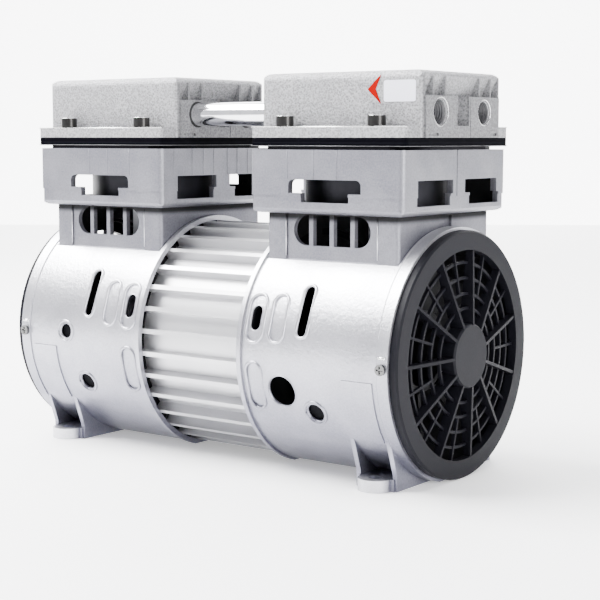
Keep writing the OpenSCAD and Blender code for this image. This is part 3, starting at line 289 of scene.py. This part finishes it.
# %% [markdown]
# ## Sand-cast heads
#
# The heads are rougher: the sand leaves pits and bright specks under half a millimetre wide. Scattered
# grains give the specks, and a finer noise between them keeps the surface from looking like a pattern.
# The end faces of a head, the block with the ports among them, are painted a little darker as shade, and
# the hollow of a head is painted nearly black as shade.

# %% Finish for the heads
HEAD_X = 73.8
HEAD_HOLLOW = (34.7, 31.7)
HEAD_HOLLOW_TOP = 130.3
HEAD_END = 45.6


def sand_cast():
    f = Finish("sand_cast")
    grains = f.grains(1.1 * MM)
    fine = f.noise(0.7 * MM, 3, 0.65)
    wide = f.noise(15 * MM, 3)
    speck = (grains * 0.6 + fine * 0.8).between(0.35, 0.95)
    colour = f.mix(speck, (0.135, 0.135, 0.14), (0.36, 0.36, 0.37))
    colour = f.mix(wide.between(0.3, 0.75) * 0.35, colour, (0.23, 0.23, 0.235))
    x, y, z = f.position()
    from_middle = (x.math("ABSOLUTE") - HEAD_X * MM).math("ABSOLUTE")
    hollow_x, hollow_y = (half * MM for half in HEAD_HOLLOW)
    below_roof = z - SHAFT_Z < HEAD_HOLLOW_TOP * MM
    # Painted shade: the hollow of the head is painted nearly black.
    painted_hollow_shade = (from_middle < hollow_x) * (y.math("ABSOLUTE") < hollow_y) * below_roof
    # Painted shade: the end faces of the head, the port block's among them, are darkened.
    colour = f.mix((from_middle > HEAD_END * MM) * 0.4, colour, (0.04, 0.04, 0.043))
    f.set(
        Base_Color=f.mix(painted_hollow_shade, colour, (0.01, 0.01, 0.011)),
        Metallic=0.5 - painted_hollow_shade * 0.5,
        Specular_IOR_Level=0.2,
        Roughness=0.45 + fine * 0.25,
        Normal=f.bump(grains * 0.5 + fine, 0.3 * MM, 1.0),
    )
    return f.material


# %% [markdown]
# ## Extruded fins
#
# The stator's housing is an aluminium extrusion, so its fine lines run along the shaft. The noise is
# stretched along X to make them, and the colour darkens towards the floor as painted shade.

# %% Finish for the fins
def extruded():
    f = Finish("extruded_fins")
    lines = f.noise(0.5 * MM, 2, 0.5, (0.02, 1, 1))
    clouds = f.noise(18 * MM, 2)
    # Painted shade: low is a shaded copy of the colour near the floor and high a lit copy above.
    height = (f.position()[2] - SHAFT_Z).between(-50 * MM, 20 * MM)
    low = f.mix(clouds, (0.40, 0.40, 0.42), (0.48, 0.48, 0.50))
    high = f.mix(clouds, (0.60, 0.60, 0.615), (0.70, 0.70, 0.715))
    colour = f.mix(height, low, high)
    f.set(
        Base_Color=colour,
        Metallic=0.8,
        Roughness=0.3 + lines * 0.16,
        Normal=f.bump(lines, 0.03 * MM, 0.5),
    )
    return f.material


# %% [markdown]
# ## Machined and plated metal
#
# Screws, bearings, the link tubes and the moving parts differ only in colour, gloss and how strongly the
# tool marks show, so one function makes them all.

# %% Finish for machined metal
def machined(name, colour, rough, marks=0.1, metal=1.0, spots=0.0):
    f = Finish(name)
    fine = f.noise(0.8 * MM, 3, 0.6)
    wide = f.noise(9 * MM, 2)
    low = tuple(c * (0.86 - spots) for c in colour)
    f.set(
        Base_Color=f.mix(wide.between(0.3, 0.7), low, colour),
        Metallic=metal,
        Roughness=rough + fine * marks,
        Normal=f.bump(fine, 0.02 * MM, 0.4),
    )
    return f.material


# %% [markdown]
# ## Moulded plastic, rubber and black plates
#
# The grilles and fans are black moulded plastic with a light texture from the mould. The valve plate is
# a sandwich: thin steel layers and seals whose edges show as faint lines, made from the height alone.

# %% Finishes for the dark pieces
def moulded(name, colour, rough, texture=0.5, shine=0.22):
    f = Finish(name)
    skin = f.noise(0.6 * MM, 2, 0.6)
    wide = f.noise(20 * MM, 2)
    f.set(
        Base_Color=f.mix(wide, colour, tuple(c * 1.35 for c in colour)),
        Metallic=0.0,
        Specular_IOR_Level=shine,
        Roughness=rough + skin * 0.18,
        Normal=f.bump(skin, 0.06 * MM, texture),
    )
    return f.material


LAYERS_Z = 159.4
LAYERS_HEIGHT = 4.2
LAYER_SHARE = 0.21


def layered_plate():
    f = Finish("valve_plate_black")
    height = f.node("SeparateXYZ", {}, [f.node("TexCoord", out="Object")], "Z")
    layer = (height - LAYERS_Z * MM) / (LAYERS_HEIGHT * MM)
    line = layer.math("PINGPONG", LAYER_SHARE)
    edge = 1 - line.between(0.0, 0.05)
    grain = f.noise(1.2 * MM, 2)
    f.set(
        Base_Color=f.mix(edge, (0.001, 0.001, 0.002), (0.006, 0.006, 0.008)),
        Metallic=0.0,
        Specular_IOR_Level=0.01,
        Roughness=0.42 + grain * 0.15,
        Normal=f.bump(edge * -1.0, 0.05 * MM, 0.6),
    )
    return f.material


# %% [markdown]
# ## Label
#
# A small pale film with a red arrow shows which way the air goes. A printed film is nearly one colour, so
# a fine noise lightens it only a little. The pale film has a clear coat, and the matt arrow has none.

# %% Finish for printed film
def film(name, colour, rough, shine=0.5, coat=0.25):
    f = Finish(name)
    paper = f.noise(1.5 * MM, 2)
    f.set(
        Base_Color=f.mix(paper, colour, tuple(min(1, c * 1.06) for c in colour)),
        Roughness=rough + paper * 0.1,
        Specular_IOR_Level=shine,
        Coat_Weight=coat,
    )
    return f.material


# %% [markdown]
# ## Which piece is made of what
#
# A parts list says what each piece is made of, and the second table does the same. Pieces whose names
# start alike share a line, and the longest start wins, so a grille's screws are not made of plastic.
# Only the mesh's material is set: the solid keeps its shape and its place.

# %% Give every solid its finish
FINISHES = {
    "cast": die_cast(),
    "head": sand_cast(),
    "fins": extruded(),
    "plate": layered_plate(),
    "gasket": moulded("gasket_black", (0.004, 0.004, 0.005), 0.6, shine=0.05),
    # Painted shade: near-black discs in the drums' holes and rings in their walls.
    "painted_shade_black": moulded("painted_hole_shade", (0.003, 0.003, 0.004), 0.5, shine=0.04),
    "rubber": moulded("seal_rubber", (0.008, 0.008, 0.008), 0.4),
    "grille": moulded("grille_plastic", (0.004, 0.004, 0.006), 0.42, shine=0.09),
    "fan": moulded("fan_plastic", (0.006, 0.006, 0.007), 0.38),
    "chrome": machined("chrome_tube", (0.86, 0.86, 0.88), 0.08, 0.05),
    "screw": machined("plated_screw", (0.62, 0.61, 0.59), 0.16, 0.12),
    "bolt": machined("head_bolt", (0.045, 0.044, 0.043), 0.25, 0.1),
    "edge_screw": machined("edge_screw", (0.13, 0.13, 0.13), 0.2, 0.12),
    "steel": machined("bearing_steel", (0.62, 0.62, 0.64), 0.18, 0.1),
    "spring": machined("spring_steel", (0.50, 0.53, 0.60), 0.2, 0.1),
    "liner": machined("liner_anodised", (0.02, 0.02, 0.024), 0.34, 0.15, 0.9),
    "iron": machined("crank_iron", (0.12, 0.12, 0.125), 0.42, 0.2, 0.8, 0.1),
    "rod": machined("rod_alloy", (0.42, 0.43, 0.45), 0.35, 0.2, 0.8),
    "laminations": machined("laminations", (0.25, 0.25, 0.27), 0.45, 0.2, 0.8, 0.15),
    "copper": machined("enamelled_copper", (0.60, 0.26, 0.12), 0.3, 0.2, 0.7),
    "cup": moulded("filled_ptfe", (0.10, 0.075, 0.06), 0.45),
    "thread": machined("cut_thread", (0.07, 0.07, 0.073), 0.4, 0.1, 0.8),
    # Bright turned metal for the port edges, also used as a painted highlight on screw rims and flange
    # edges.
    "machined_and_highlight": machined("machined_edge_and_highlight", (0.80, 0.80, 0.80), 0.22, 0.1),
    "label": film("label_film", (0.74, 0.74, 0.84), 0.35),
    "arrow": film("arrow_red", (0.24, 0.001, 0.001), 0.6, shine=0.0, coat=0.0),
}
NODE_FINISH = {
    "crankcase": "cast",
    "stator_housing": "fins",
    "stator_core": "laminations",
    "stator_windings": "copper",
    "stator_bolts": "screw",
    "stator_nuts": "screw",
    "cylinder_liner": "liner",
    "gasket": "gasket",
    "valve_plate": "plate",
    "cylinder_head": "head",
    "head_screws": "bolt",
    "link_tube": "chrome",
    "tube_seals": "rubber",
    "grille_screws": "edge_screw",
    "grille": "grille",
    "main_bearing": "steel",
    "pin_bearing": "steel",
    "reed_clamps": "steel",
    "exhaust_stops": "steel",
    "intake_reed": "spring",
    "exhaust_reed": "spring",
    "flow_label": "label",
    "flow_arrow": "arrow",
    "motor_shaft": "steel",
    "rotor_core": "laminations",
    "crank_set_screws": "iron",
    "crank": "iron",
    "con_rod": "rod",
    "piston_plate": "rod",
    "piston_cap": "rod",
    "piston_cup": "cup",
    "piston_screw": "steel",
    "fan_screws": "screw",
    "inner_fan_screw": "screw",
    "fan": "fan",
}


def finish_of(node):
    """The finish whose key is the longest start of the node's name."""
    key = max((k for k in NODE_FINISH if node.startswith(k)), key=len)
    return FINISHES[NODE_FINISH[key]]


for name, solid in nodes.items():
    solid.data.materials.clear()
    solid.data.materials.append(finish_of(name))
print(len(nodes), "solids have one of", len(FINISHES), "finishes")

# %% [markdown]
# ## Thread in the ports
#
# A pipe thread is a V-shaped groove. At this size rings look the same as a helix, so one zigzag profile
# is drawn in the plane of the port's axis and spun round it. The back of the profile lies just inside
# the bored wall, which closes the sleeve.

# %% Threaded sleeves in the two ports
PORT_FACE_X = 120.3
PORT_Z = 115.6
PORT_Y = 20.0
THREAD_X = (109.0, 119.1)
BACK_GAP = 0.02
ROOT_GAP = 0.05
# Each port's y, bore radius, thread pitch and thread depth
PORTS = {
    "intake_thread": (-PORT_Y, 5.9, 1.337, 0.62),
    "outlet_thread": (PORT_Y, 5.4, 1.0, 0.4),
}


def finished(name, made, body, finish):
    """Turns a bmesh into an object that rides on a CAD body."""
    bmesh.ops.recalc_face_normals(made, faces=made.faces)
    mesh = bpy.data.meshes.new(name)
    made.to_mesh(mesh)
    made.free()
    mesh.materials.append(FINISHES[finish])
    piece = bpy.data.objects.new(name, mesh)
    bpy.context.scene.collection.objects.link(piece)
    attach(piece, body)
    print(name, "has", len(mesh.polygons), "faces")
    return piece


def port_thread(name, y, bore_r, pitch, depth, x0, x1):
    made = bmesh.new()
    turns = int((x1 - x0) / pitch)
    profile = [(x0, bore_r - BACK_GAP)]
    for turn in range(turns):
        start = x0 + turn * pitch
        profile.append((start, bore_r - ROOT_GAP))
        profile.append((start + pitch * 0.5, bore_r - depth))
    profile.append((x0 + turns * pitch, bore_r - ROOT_GAP))
    profile.append((x0 + turns * pitch, bore_r - BACK_GAP))
    ring = [made.verts.new(Vector((x, y, SHAFT_Z / MM + PORT_Z + r)) * MM) for x, r in profile]
    edges = [made.edges.new((a, b)) for a, b in zip(ring, ring[1:] + ring[:1])]
    bmesh.ops.spin(
        made,
        geom=ring + edges,
        cent=Vector((0, y, SHAFT_Z / MM + PORT_Z)) * MM,
        axis=(1, 0, 0),
        angle=math.tau,
        steps=56,
        use_merge=True,
    )
    bmesh.ops.remove_doubles(made, verts=made.verts, dist=0.001 * MM)
    piece = finished(name, made, "casing", "thread")
    for face in piece.data.polygons:
        face.use_smooth = False
    return piece


for name, port in PORTS.items():
    port_thread(name, *port, *THREAD_X)

# %% [markdown]
# ## Raised lips
#
# Every slot and pocket of the drums has a narrow raised lip, which catches the light as a bright outline.
# A lip is a thin round bead that follows the slot's outline on the drum, half sunk into the casting. The
# outline is bent onto the drum with one square root, then turned to the slot's angle.

# %% Beads along a path
DRUM_R = 61.0
MIRRORS = [(1, -1), (1, 1), (-1, -1), (-1, 1)]


def bead(name, paths, radius, finish, closed=True):
    """One mesh of round beads, each along a list of points in millimetres from the shaft."""
    curve = bpy.data.curves.new(name, "CURVE")
    curve.dimensions = "3D"
    curve.bevel_depth = radius * MM
    curve.bevel_resolution = 2
    curve.use_fill_caps = True
    for path in paths:
        line = curve.splines.new("POLY")
        line.points.add(len(path) - 1)
        for point, (x, y, z) in zip(line.points, path):
            point.co = (x * MM, y * MM, z * MM + SHAFT_Z, 1)
        line.use_cyclic_u = closed
    drawn = bpy.data.objects.new(name + "_path", curve)
    bpy.context.scene.collection.objects.link(drawn)
    made = bmesh.new()
    made.from_mesh(drawn.to_mesh())
    drawn.to_mesh_clear()
    bpy.data.objects.remove(drawn)
    bmesh.ops.remove_doubles(made, verts=made.verts, dist=0.001 * MM)
    piece = finished(name, made, "casing", finish)
    for face in piece.data.polygons:
        face.use_smooth = True
    return piece


def slot_outline(x, angle, width, length, steps=10, radius=DRUM_R):
    """A slot's outline on the front of the right drum."""
    half = (length - width) / 2
    turn = math.radians(90 - angle)
    points = []
    for end in (1, -1):
        for step in range(steps + 1):
            a = math.pi * step / steps
            dx = width / 2 * math.cos(a) * end
            dy = (half + width / 2 * math.sin(a)) * end
            dz = math.sqrt(radius**2 - dy**2)
            points.append((
                x + dx,
                dy * math.cos(turn) - dz * math.sin(turn),
                dy * math.sin(turn) + dz * math.cos(turn),
            ))
    return points


def all_mirrors(path, mirrors=MIRRORS):
    return [[(x * sx, y * -sy, z) for x, y, z in path] for sx, sy in mirrors]


# %% Lips round the slots, pockets and holes
LIP = 0.85
HALO = 0.7
FRONT = [(1, -1), (-1, -1)]
RIGHT_FRONT = [(1, -1)]
LEFT_FRONT = [(-1, -1)]
DRAIN = (75.0, -24.3)
SENSOR = (85.5, 1.6)
# Each opening's x, angle above level, width and length, its bead's radius and where it is repeated
SLOTS = {
    "vent_slot_lips": (69.4, 22.1, 6.0, 25.2, LIP, MIRRORS),
    "mid_pocket_lips": (54.5, 17.9, 8.0, 23.0, LIP, MIRRORS),
    "end_pocket_lips": (41.3, 17.2, 9.6, 23.4, LIP, MIRRORS),
    "low_pocket_lips": (41.3, -14.3, 8.6, 23.0, LIP, MIRRORS),
    "drain_lips": (*DRAIN, 11.2, 11.21, HALO, MIRRORS),
    "sensor_lips": (*SENSOR, 10.2, 10.21, HALO, LEFT_FRONT),
    "cable_lips": (57.3, -15.4, 16.2, 16.21, 0.3, RIGHT_FRONT),
}
for name, (x, angle, width, length, radius, mirrors) in SLOTS.items():
    outline = slot_outline(x, angle, width + radius, length + radius, 16)
    bead(name, all_mirrors(outline, mirrors), radius, "cast")
POCKET_DEPTH = 0.6
peep = slot_outline(41.3, 17.2, 6.2, 12.6, 10, DRUM_R - POCKET_DEPTH)
bead("peep_slot_lips", all_mirrors(peep), 0.25, "cast")

# %% [markdown]
# ## Edges of bands and panels
#
# The edges of a casting are rounded, and each mirrors a light as a thin line. A bevel would change the
# solid, so beads are laid along its edges: round the band at each drum's outer end, held above the flat
# underside, and down both sides of the panel on the front and back of each neck.

# %% Edges of the band round each drum's outer end, and of the panels on the necks
BAND_X = 112.6
BAND_R = 61.25
BAND_STEPS = 96
around = [math.tau * step / BAND_STEPS for step in range(BAND_STEPS)]
BAND_FLAT_Z = -59.15
band = [(BAND_X, BAND_R * math.cos(a), max(BAND_FLAT_Z, BAND_R * math.sin(a))) for a in around]
bead("band_edges", all_mirrors(band, FRONT), 0.35, "cast")
NECK_Y = 40.8
NECK_PANEL = [(46.5, -NECK_Y), (99.5, -NECK_Y)]
PANEL_Z = (47.0, 66.5)
panel_edges = [[(x, y, z) for z in PANEL_Z] for x, y in NECK_PANEL]
bead(
    "neck_panel_edges",
    [path for line in panel_edges for path in all_mirrors(line)],
    0.45,
    "cast",
    closed=False,
)

# %% [markdown]
# ## Ports' edges and painted shade in the holes
#
# A port's mouth is turned, which leaves a bright ring. The drums' small holes look dark from outside, so
# each has a dark disc a little below the surface, painted shade in the hole: a cone with two equal radii,
# turned to the hole's angle round the shaft.

# %% Turned edges of the ports, and painted shade discs in the drums' small holes
PORT_EDGE_STEPS = 40
port_turns = [math.tau * step / PORT_EDGE_STEPS for step in range(PORT_EDGE_STEPS)]
EDGE_X = PORT_FACE_X - 0.35
EDGE_OUT = 0.85
edge_rings = [(y, bore_r + EDGE_OUT) for y, bore_r, _, _ in PORTS.values()]
port_edges = [
    [(EDGE_X, y + r * math.cos(a), PORT_Z + r * math.sin(a)) for a in port_turns]
    for y, r in edge_rings
]
bead("port_edges", port_edges, 0.3, "machined_and_highlight")


SHADE_DISC_MIDDLE_R = 58.6
SHADE_DISC_THICK = 0.6


def painted_hole_shade(name, x, angle, radius, mirrors):
    """Flat dark discs of painted shade in the drum wall, a little below its outside."""
    made = bmesh.new()
    for sx, sy in mirrors:
        turn = Matrix.Rotation(math.radians(90 - angle) * -sy, 4, "X")
        place = Matrix.Translation((x * sx * MM, 0, SHAFT_Z)) @ turn
        bmesh.ops.create_cone(
            made,
            cap_ends=True,
            segments=32,
            radius1=radius * MM,
            radius2=radius * MM,
            depth=SHADE_DISC_THICK * MM,
            matrix=place @ Matrix.Translation((0, 0, SHADE_DISC_MIDDLE_R * MM)),
        )
    return finished(name, made, "casing", "painted_shade_black")


# Painted shade: dark discs sit in the holes where shade falls.
painted_hole_shade("drain_hole_shades", *DRAIN, 5.3, MIRRORS)
painted_hole_shade("sensor_hole_shade", *SENSOR, 4.6, LEFT_FRONT)

# %% [markdown]
# ## Thin sheet under the valve plate
#
# A thin sheet lies under each valve plate, and only its edge shows, as a fine line. One closed bead round
# the rim draws that edge, which is less than a whole sheet that nobody would see.

# %% The thin sheet under each valve plate
SHEET_HX = 44.6
SHEET_HY = 46.3
SHEET_Z = 99.8
sheet = [
    (HEAD_X - SHEET_HX, -SHEET_HY, SHEET_Z),
    (HEAD_X + SHEET_HX, -SHEET_HY, SHEET_Z),
    (HEAD_X + SHEET_HX, SHEET_HY, SHEET_Z),
    (HEAD_X - SHEET_HX, SHEET_HY, SHEET_Z),
]
bead("valve_sheet_edges", all_mirrors(sheet, FRONT), 0.15, "iron")

# %% [markdown]
# ## Rims of the screws and edges of the heads
#
# The head screws are dark, but the rims of their caps catch the light, and so does the upper edge of each
# head's flange. A bright ring of bead lies on each rim, and a straight bead on each long edge, as a painted
# highlight in bright metal.

# %% Painted highlights on the rims of the head screws and edges of the head flanges
CAP_R = 3.95
CAP_TOP = 113.75
CAP_STEPS = 24
SCREW_Y = 42.2
SCREW_X = (46.6, 99.4)
cap_turns = [math.tau * step / CAP_STEPS for step in range(CAP_STEPS)]
cap_rims = [
    [(x + CAP_R * math.cos(a), CAP_R * math.sin(a) - SCREW_Y, CAP_TOP) for a in cap_turns]
    for x in SCREW_X
]
# Painted highlight: the bright rims and flange edges stand for light caught by the edges.
bead("screw_rims", [path for rim in cap_rims for path in all_mirrors(rim)], 0.3, "machined_and_highlight")
FLANGE_HX = 44.4
FLANGE_HY = 46.1
FLANGE_TOP = 108.7
flange_line = [(HEAD_X - FLANGE_HX, -FLANGE_HY, FLANGE_TOP), (HEAD_X + FLANGE_HX, -FLANGE_HY, FLANGE_TOP)]
bead("flange_edges", all_mirrors(flange_line), 0.3, "machined_and_highlight", closed=False)

# %% [markdown]
# ## Ledges over the grille screws
#
# The band of the drum has a small ledge above each screw that holds the grille. It is so short that one
# thick bead with closed ends gives its shape.

# %% Ledges over the grille screws
LEDGE_Z = 5.2
LEDGE_Y = 61.1
LEDGE_X = (113.2, 117.4)
ledge = [(x, -LEDGE_Y, LEDGE_Z) for x in LEDGE_X]
bead("screw_ledges", all_mirrors(ledge), 0.8, "machined_and_highlight", closed=False)

# %% [markdown]
# ## Painted shade in the walls of the drums
#
# Air passes from the fins into each drum through openings in the wall between them. A thin dark ring in
# front of them is painted shade that keeps the openings dark: a rectangle that is spun round the shaft.

# %% Painted shade rings in the air openings of the walls between the drums and the fins
def ring_plate(name, x, inner, outer, thick, steps=96):
    """Flat rings across the shaft, one on each side."""
    made = bmesh.new()
    for sx in (1, -1):
        corners = [(x, inner), (x, outer), (x + thick, outer), (x + thick, inner)]
        ring = [made.verts.new(Vector((cx * sx, 0, SHAFT_Z / MM + r)) * MM) for cx, r in corners]
        edges = [made.edges.new((a, b)) for a, b in zip(ring, ring[1:] + ring[:1])]
        bmesh.ops.spin(
            made,
            geom=ring + edges,
            cent=(0, 0, SHAFT_Z),
            axis=(1, 0, 0),
            angle=math.tau,
            steps=steps,
            use_merge=True,
        )
    bmesh.ops.remove_doubles(made, verts=made.verts, dist=0.001 * MM)
    return finished(name, made, "casing", "painted_shade_black")


# Painted shade: a near-black ring over the air openings on each side.
ring_plate("wall_shade_rings", x=38.0, inner=50.5, outer=58.6, thick=0.5)

# %% [markdown]
# ## Witness lines
#
# Where the parts of a die meet they leave fine upright lines on the casting. They could be bump alone,
# but a thin bead also shows in the mesh.

# %% Witness lines that the mould left on the cylinder boxes
BOX_Y = 46.9
BOX_X0 = 28.8
LINE_Z = (84.2, 97.7)
FRONT_LINES_X = (51.4, 66.9, 80.3)
END_LINES_Y = (5.6, 14.0, 23.0, 37.4)
front_lines = [[(x, -BOX_Y, z) for z in LINE_Z] for x in FRONT_LINES_X]
end_lines = [[(BOX_X0, -y, z) for z in LINE_Z] for y in END_LINES_Y]
bead(
    "box_witness_lines",
    [path for line in front_lines + end_lines for path in all_mirrors(line)],
    0.2,
    "cast",
    closed=False,
)

# %% [markdown]
# ## Studio
#
# A pale floor and large soft lights, as in a product photograph on white. Metal shows what it mirrors,
# so the lights are big and the surroundings bright, with one darker side to give the drums their shading.

# %% Floor, surroundings and lights
def area_light(name, place, target, size, power):
    data = bpy.data.lights.new(name, "AREA")
    data.shape = "RECTANGLE"
    data.size, data.size_y = size
    data.energy = power
    lamp = bpy.data.objects.new(name, data)
    lamp.location = place
    lamp.rotation_euler = (Vector(target) - Vector(place)).to_track_quat("-Z", "Y").to_euler()
    bpy.context.scene.collection.objects.link(lamp)
    return lamp


SHEET_HALF = 3.0
BACKDROP_WAY = 2.0
BACKDROP_GLOW = 4.5
FLOOR_GLOW = 0.4


def glowing_sheet(name, finish, rough, glow):
    """A square sheet that gives off a little light and isn't part of the object."""
    mesh = bpy.data.meshes.new(name)
    made = bmesh.new()
    bmesh.ops.create_grid(made, x_segments=1, y_segments=1, size=SHEET_HALF)
    made.to_mesh(mesh)
    made.free()
    sheet = bpy.data.objects.new(name, mesh)
    bpy.context.scene.collection.objects.link(sheet)
    paper = Finish(finish).set(
        Base_Color=(0.92, 0.92, 0.92),
        Roughness=rough,
        Emission_Color=(1, 1, 1),
        Emission_Strength=glow,
    )
    mesh.materials.append(paper.material)
    return sheet


glowing_sheet("floor", "studio_floor", 0.7, FLOOR_GLOW)

world = bpy.data.worlds.new("studio")
world.use_nodes = True
world.node_tree.nodes["Background"].inputs["Color"].default_value = (0.88, 0.88, 1, 1)
world.node_tree.nodes["Background"].inputs["Strength"].default_value = 0.5
bpy.context.scene.world = world

level_look = Vector((look.x, look.y, 0)).normalized()
backdrop = glowing_sheet("backdrop", "backdrop_paper", 0.8, BACKDROP_GLOW)
backdrop.location = level_look * BACKDROP_WAY
backdrop.rotation_euler = (-level_look).to_track_quat("Z", "Y").to_euler()

MIDDLE = (0, 0, 0.1)
area_light("key_soft", (-0.7, -0.35, 1.05), MIDDLE, (1.1, 0.7), 105)
area_light("top_soft", (0.2, 0.1, 1.2), MIDDLE, (0.9, 0.7), 12)
area_light("left_soft", (-1.0, -1.1, 0.45), MIDDLE, (0.7, 0.7), 1.5)
area_light("floor_soft", (-1.1, 1.5, 1.1), (-1.1, 1.5, 0), (1.6, 1.6), 45)
area_light("right_soft", (1.3, -0.35, 0.5), MIDDLE, (0.5, 0.8), 26)
print("studio has", len(bpy.data.lights), "soft lights")
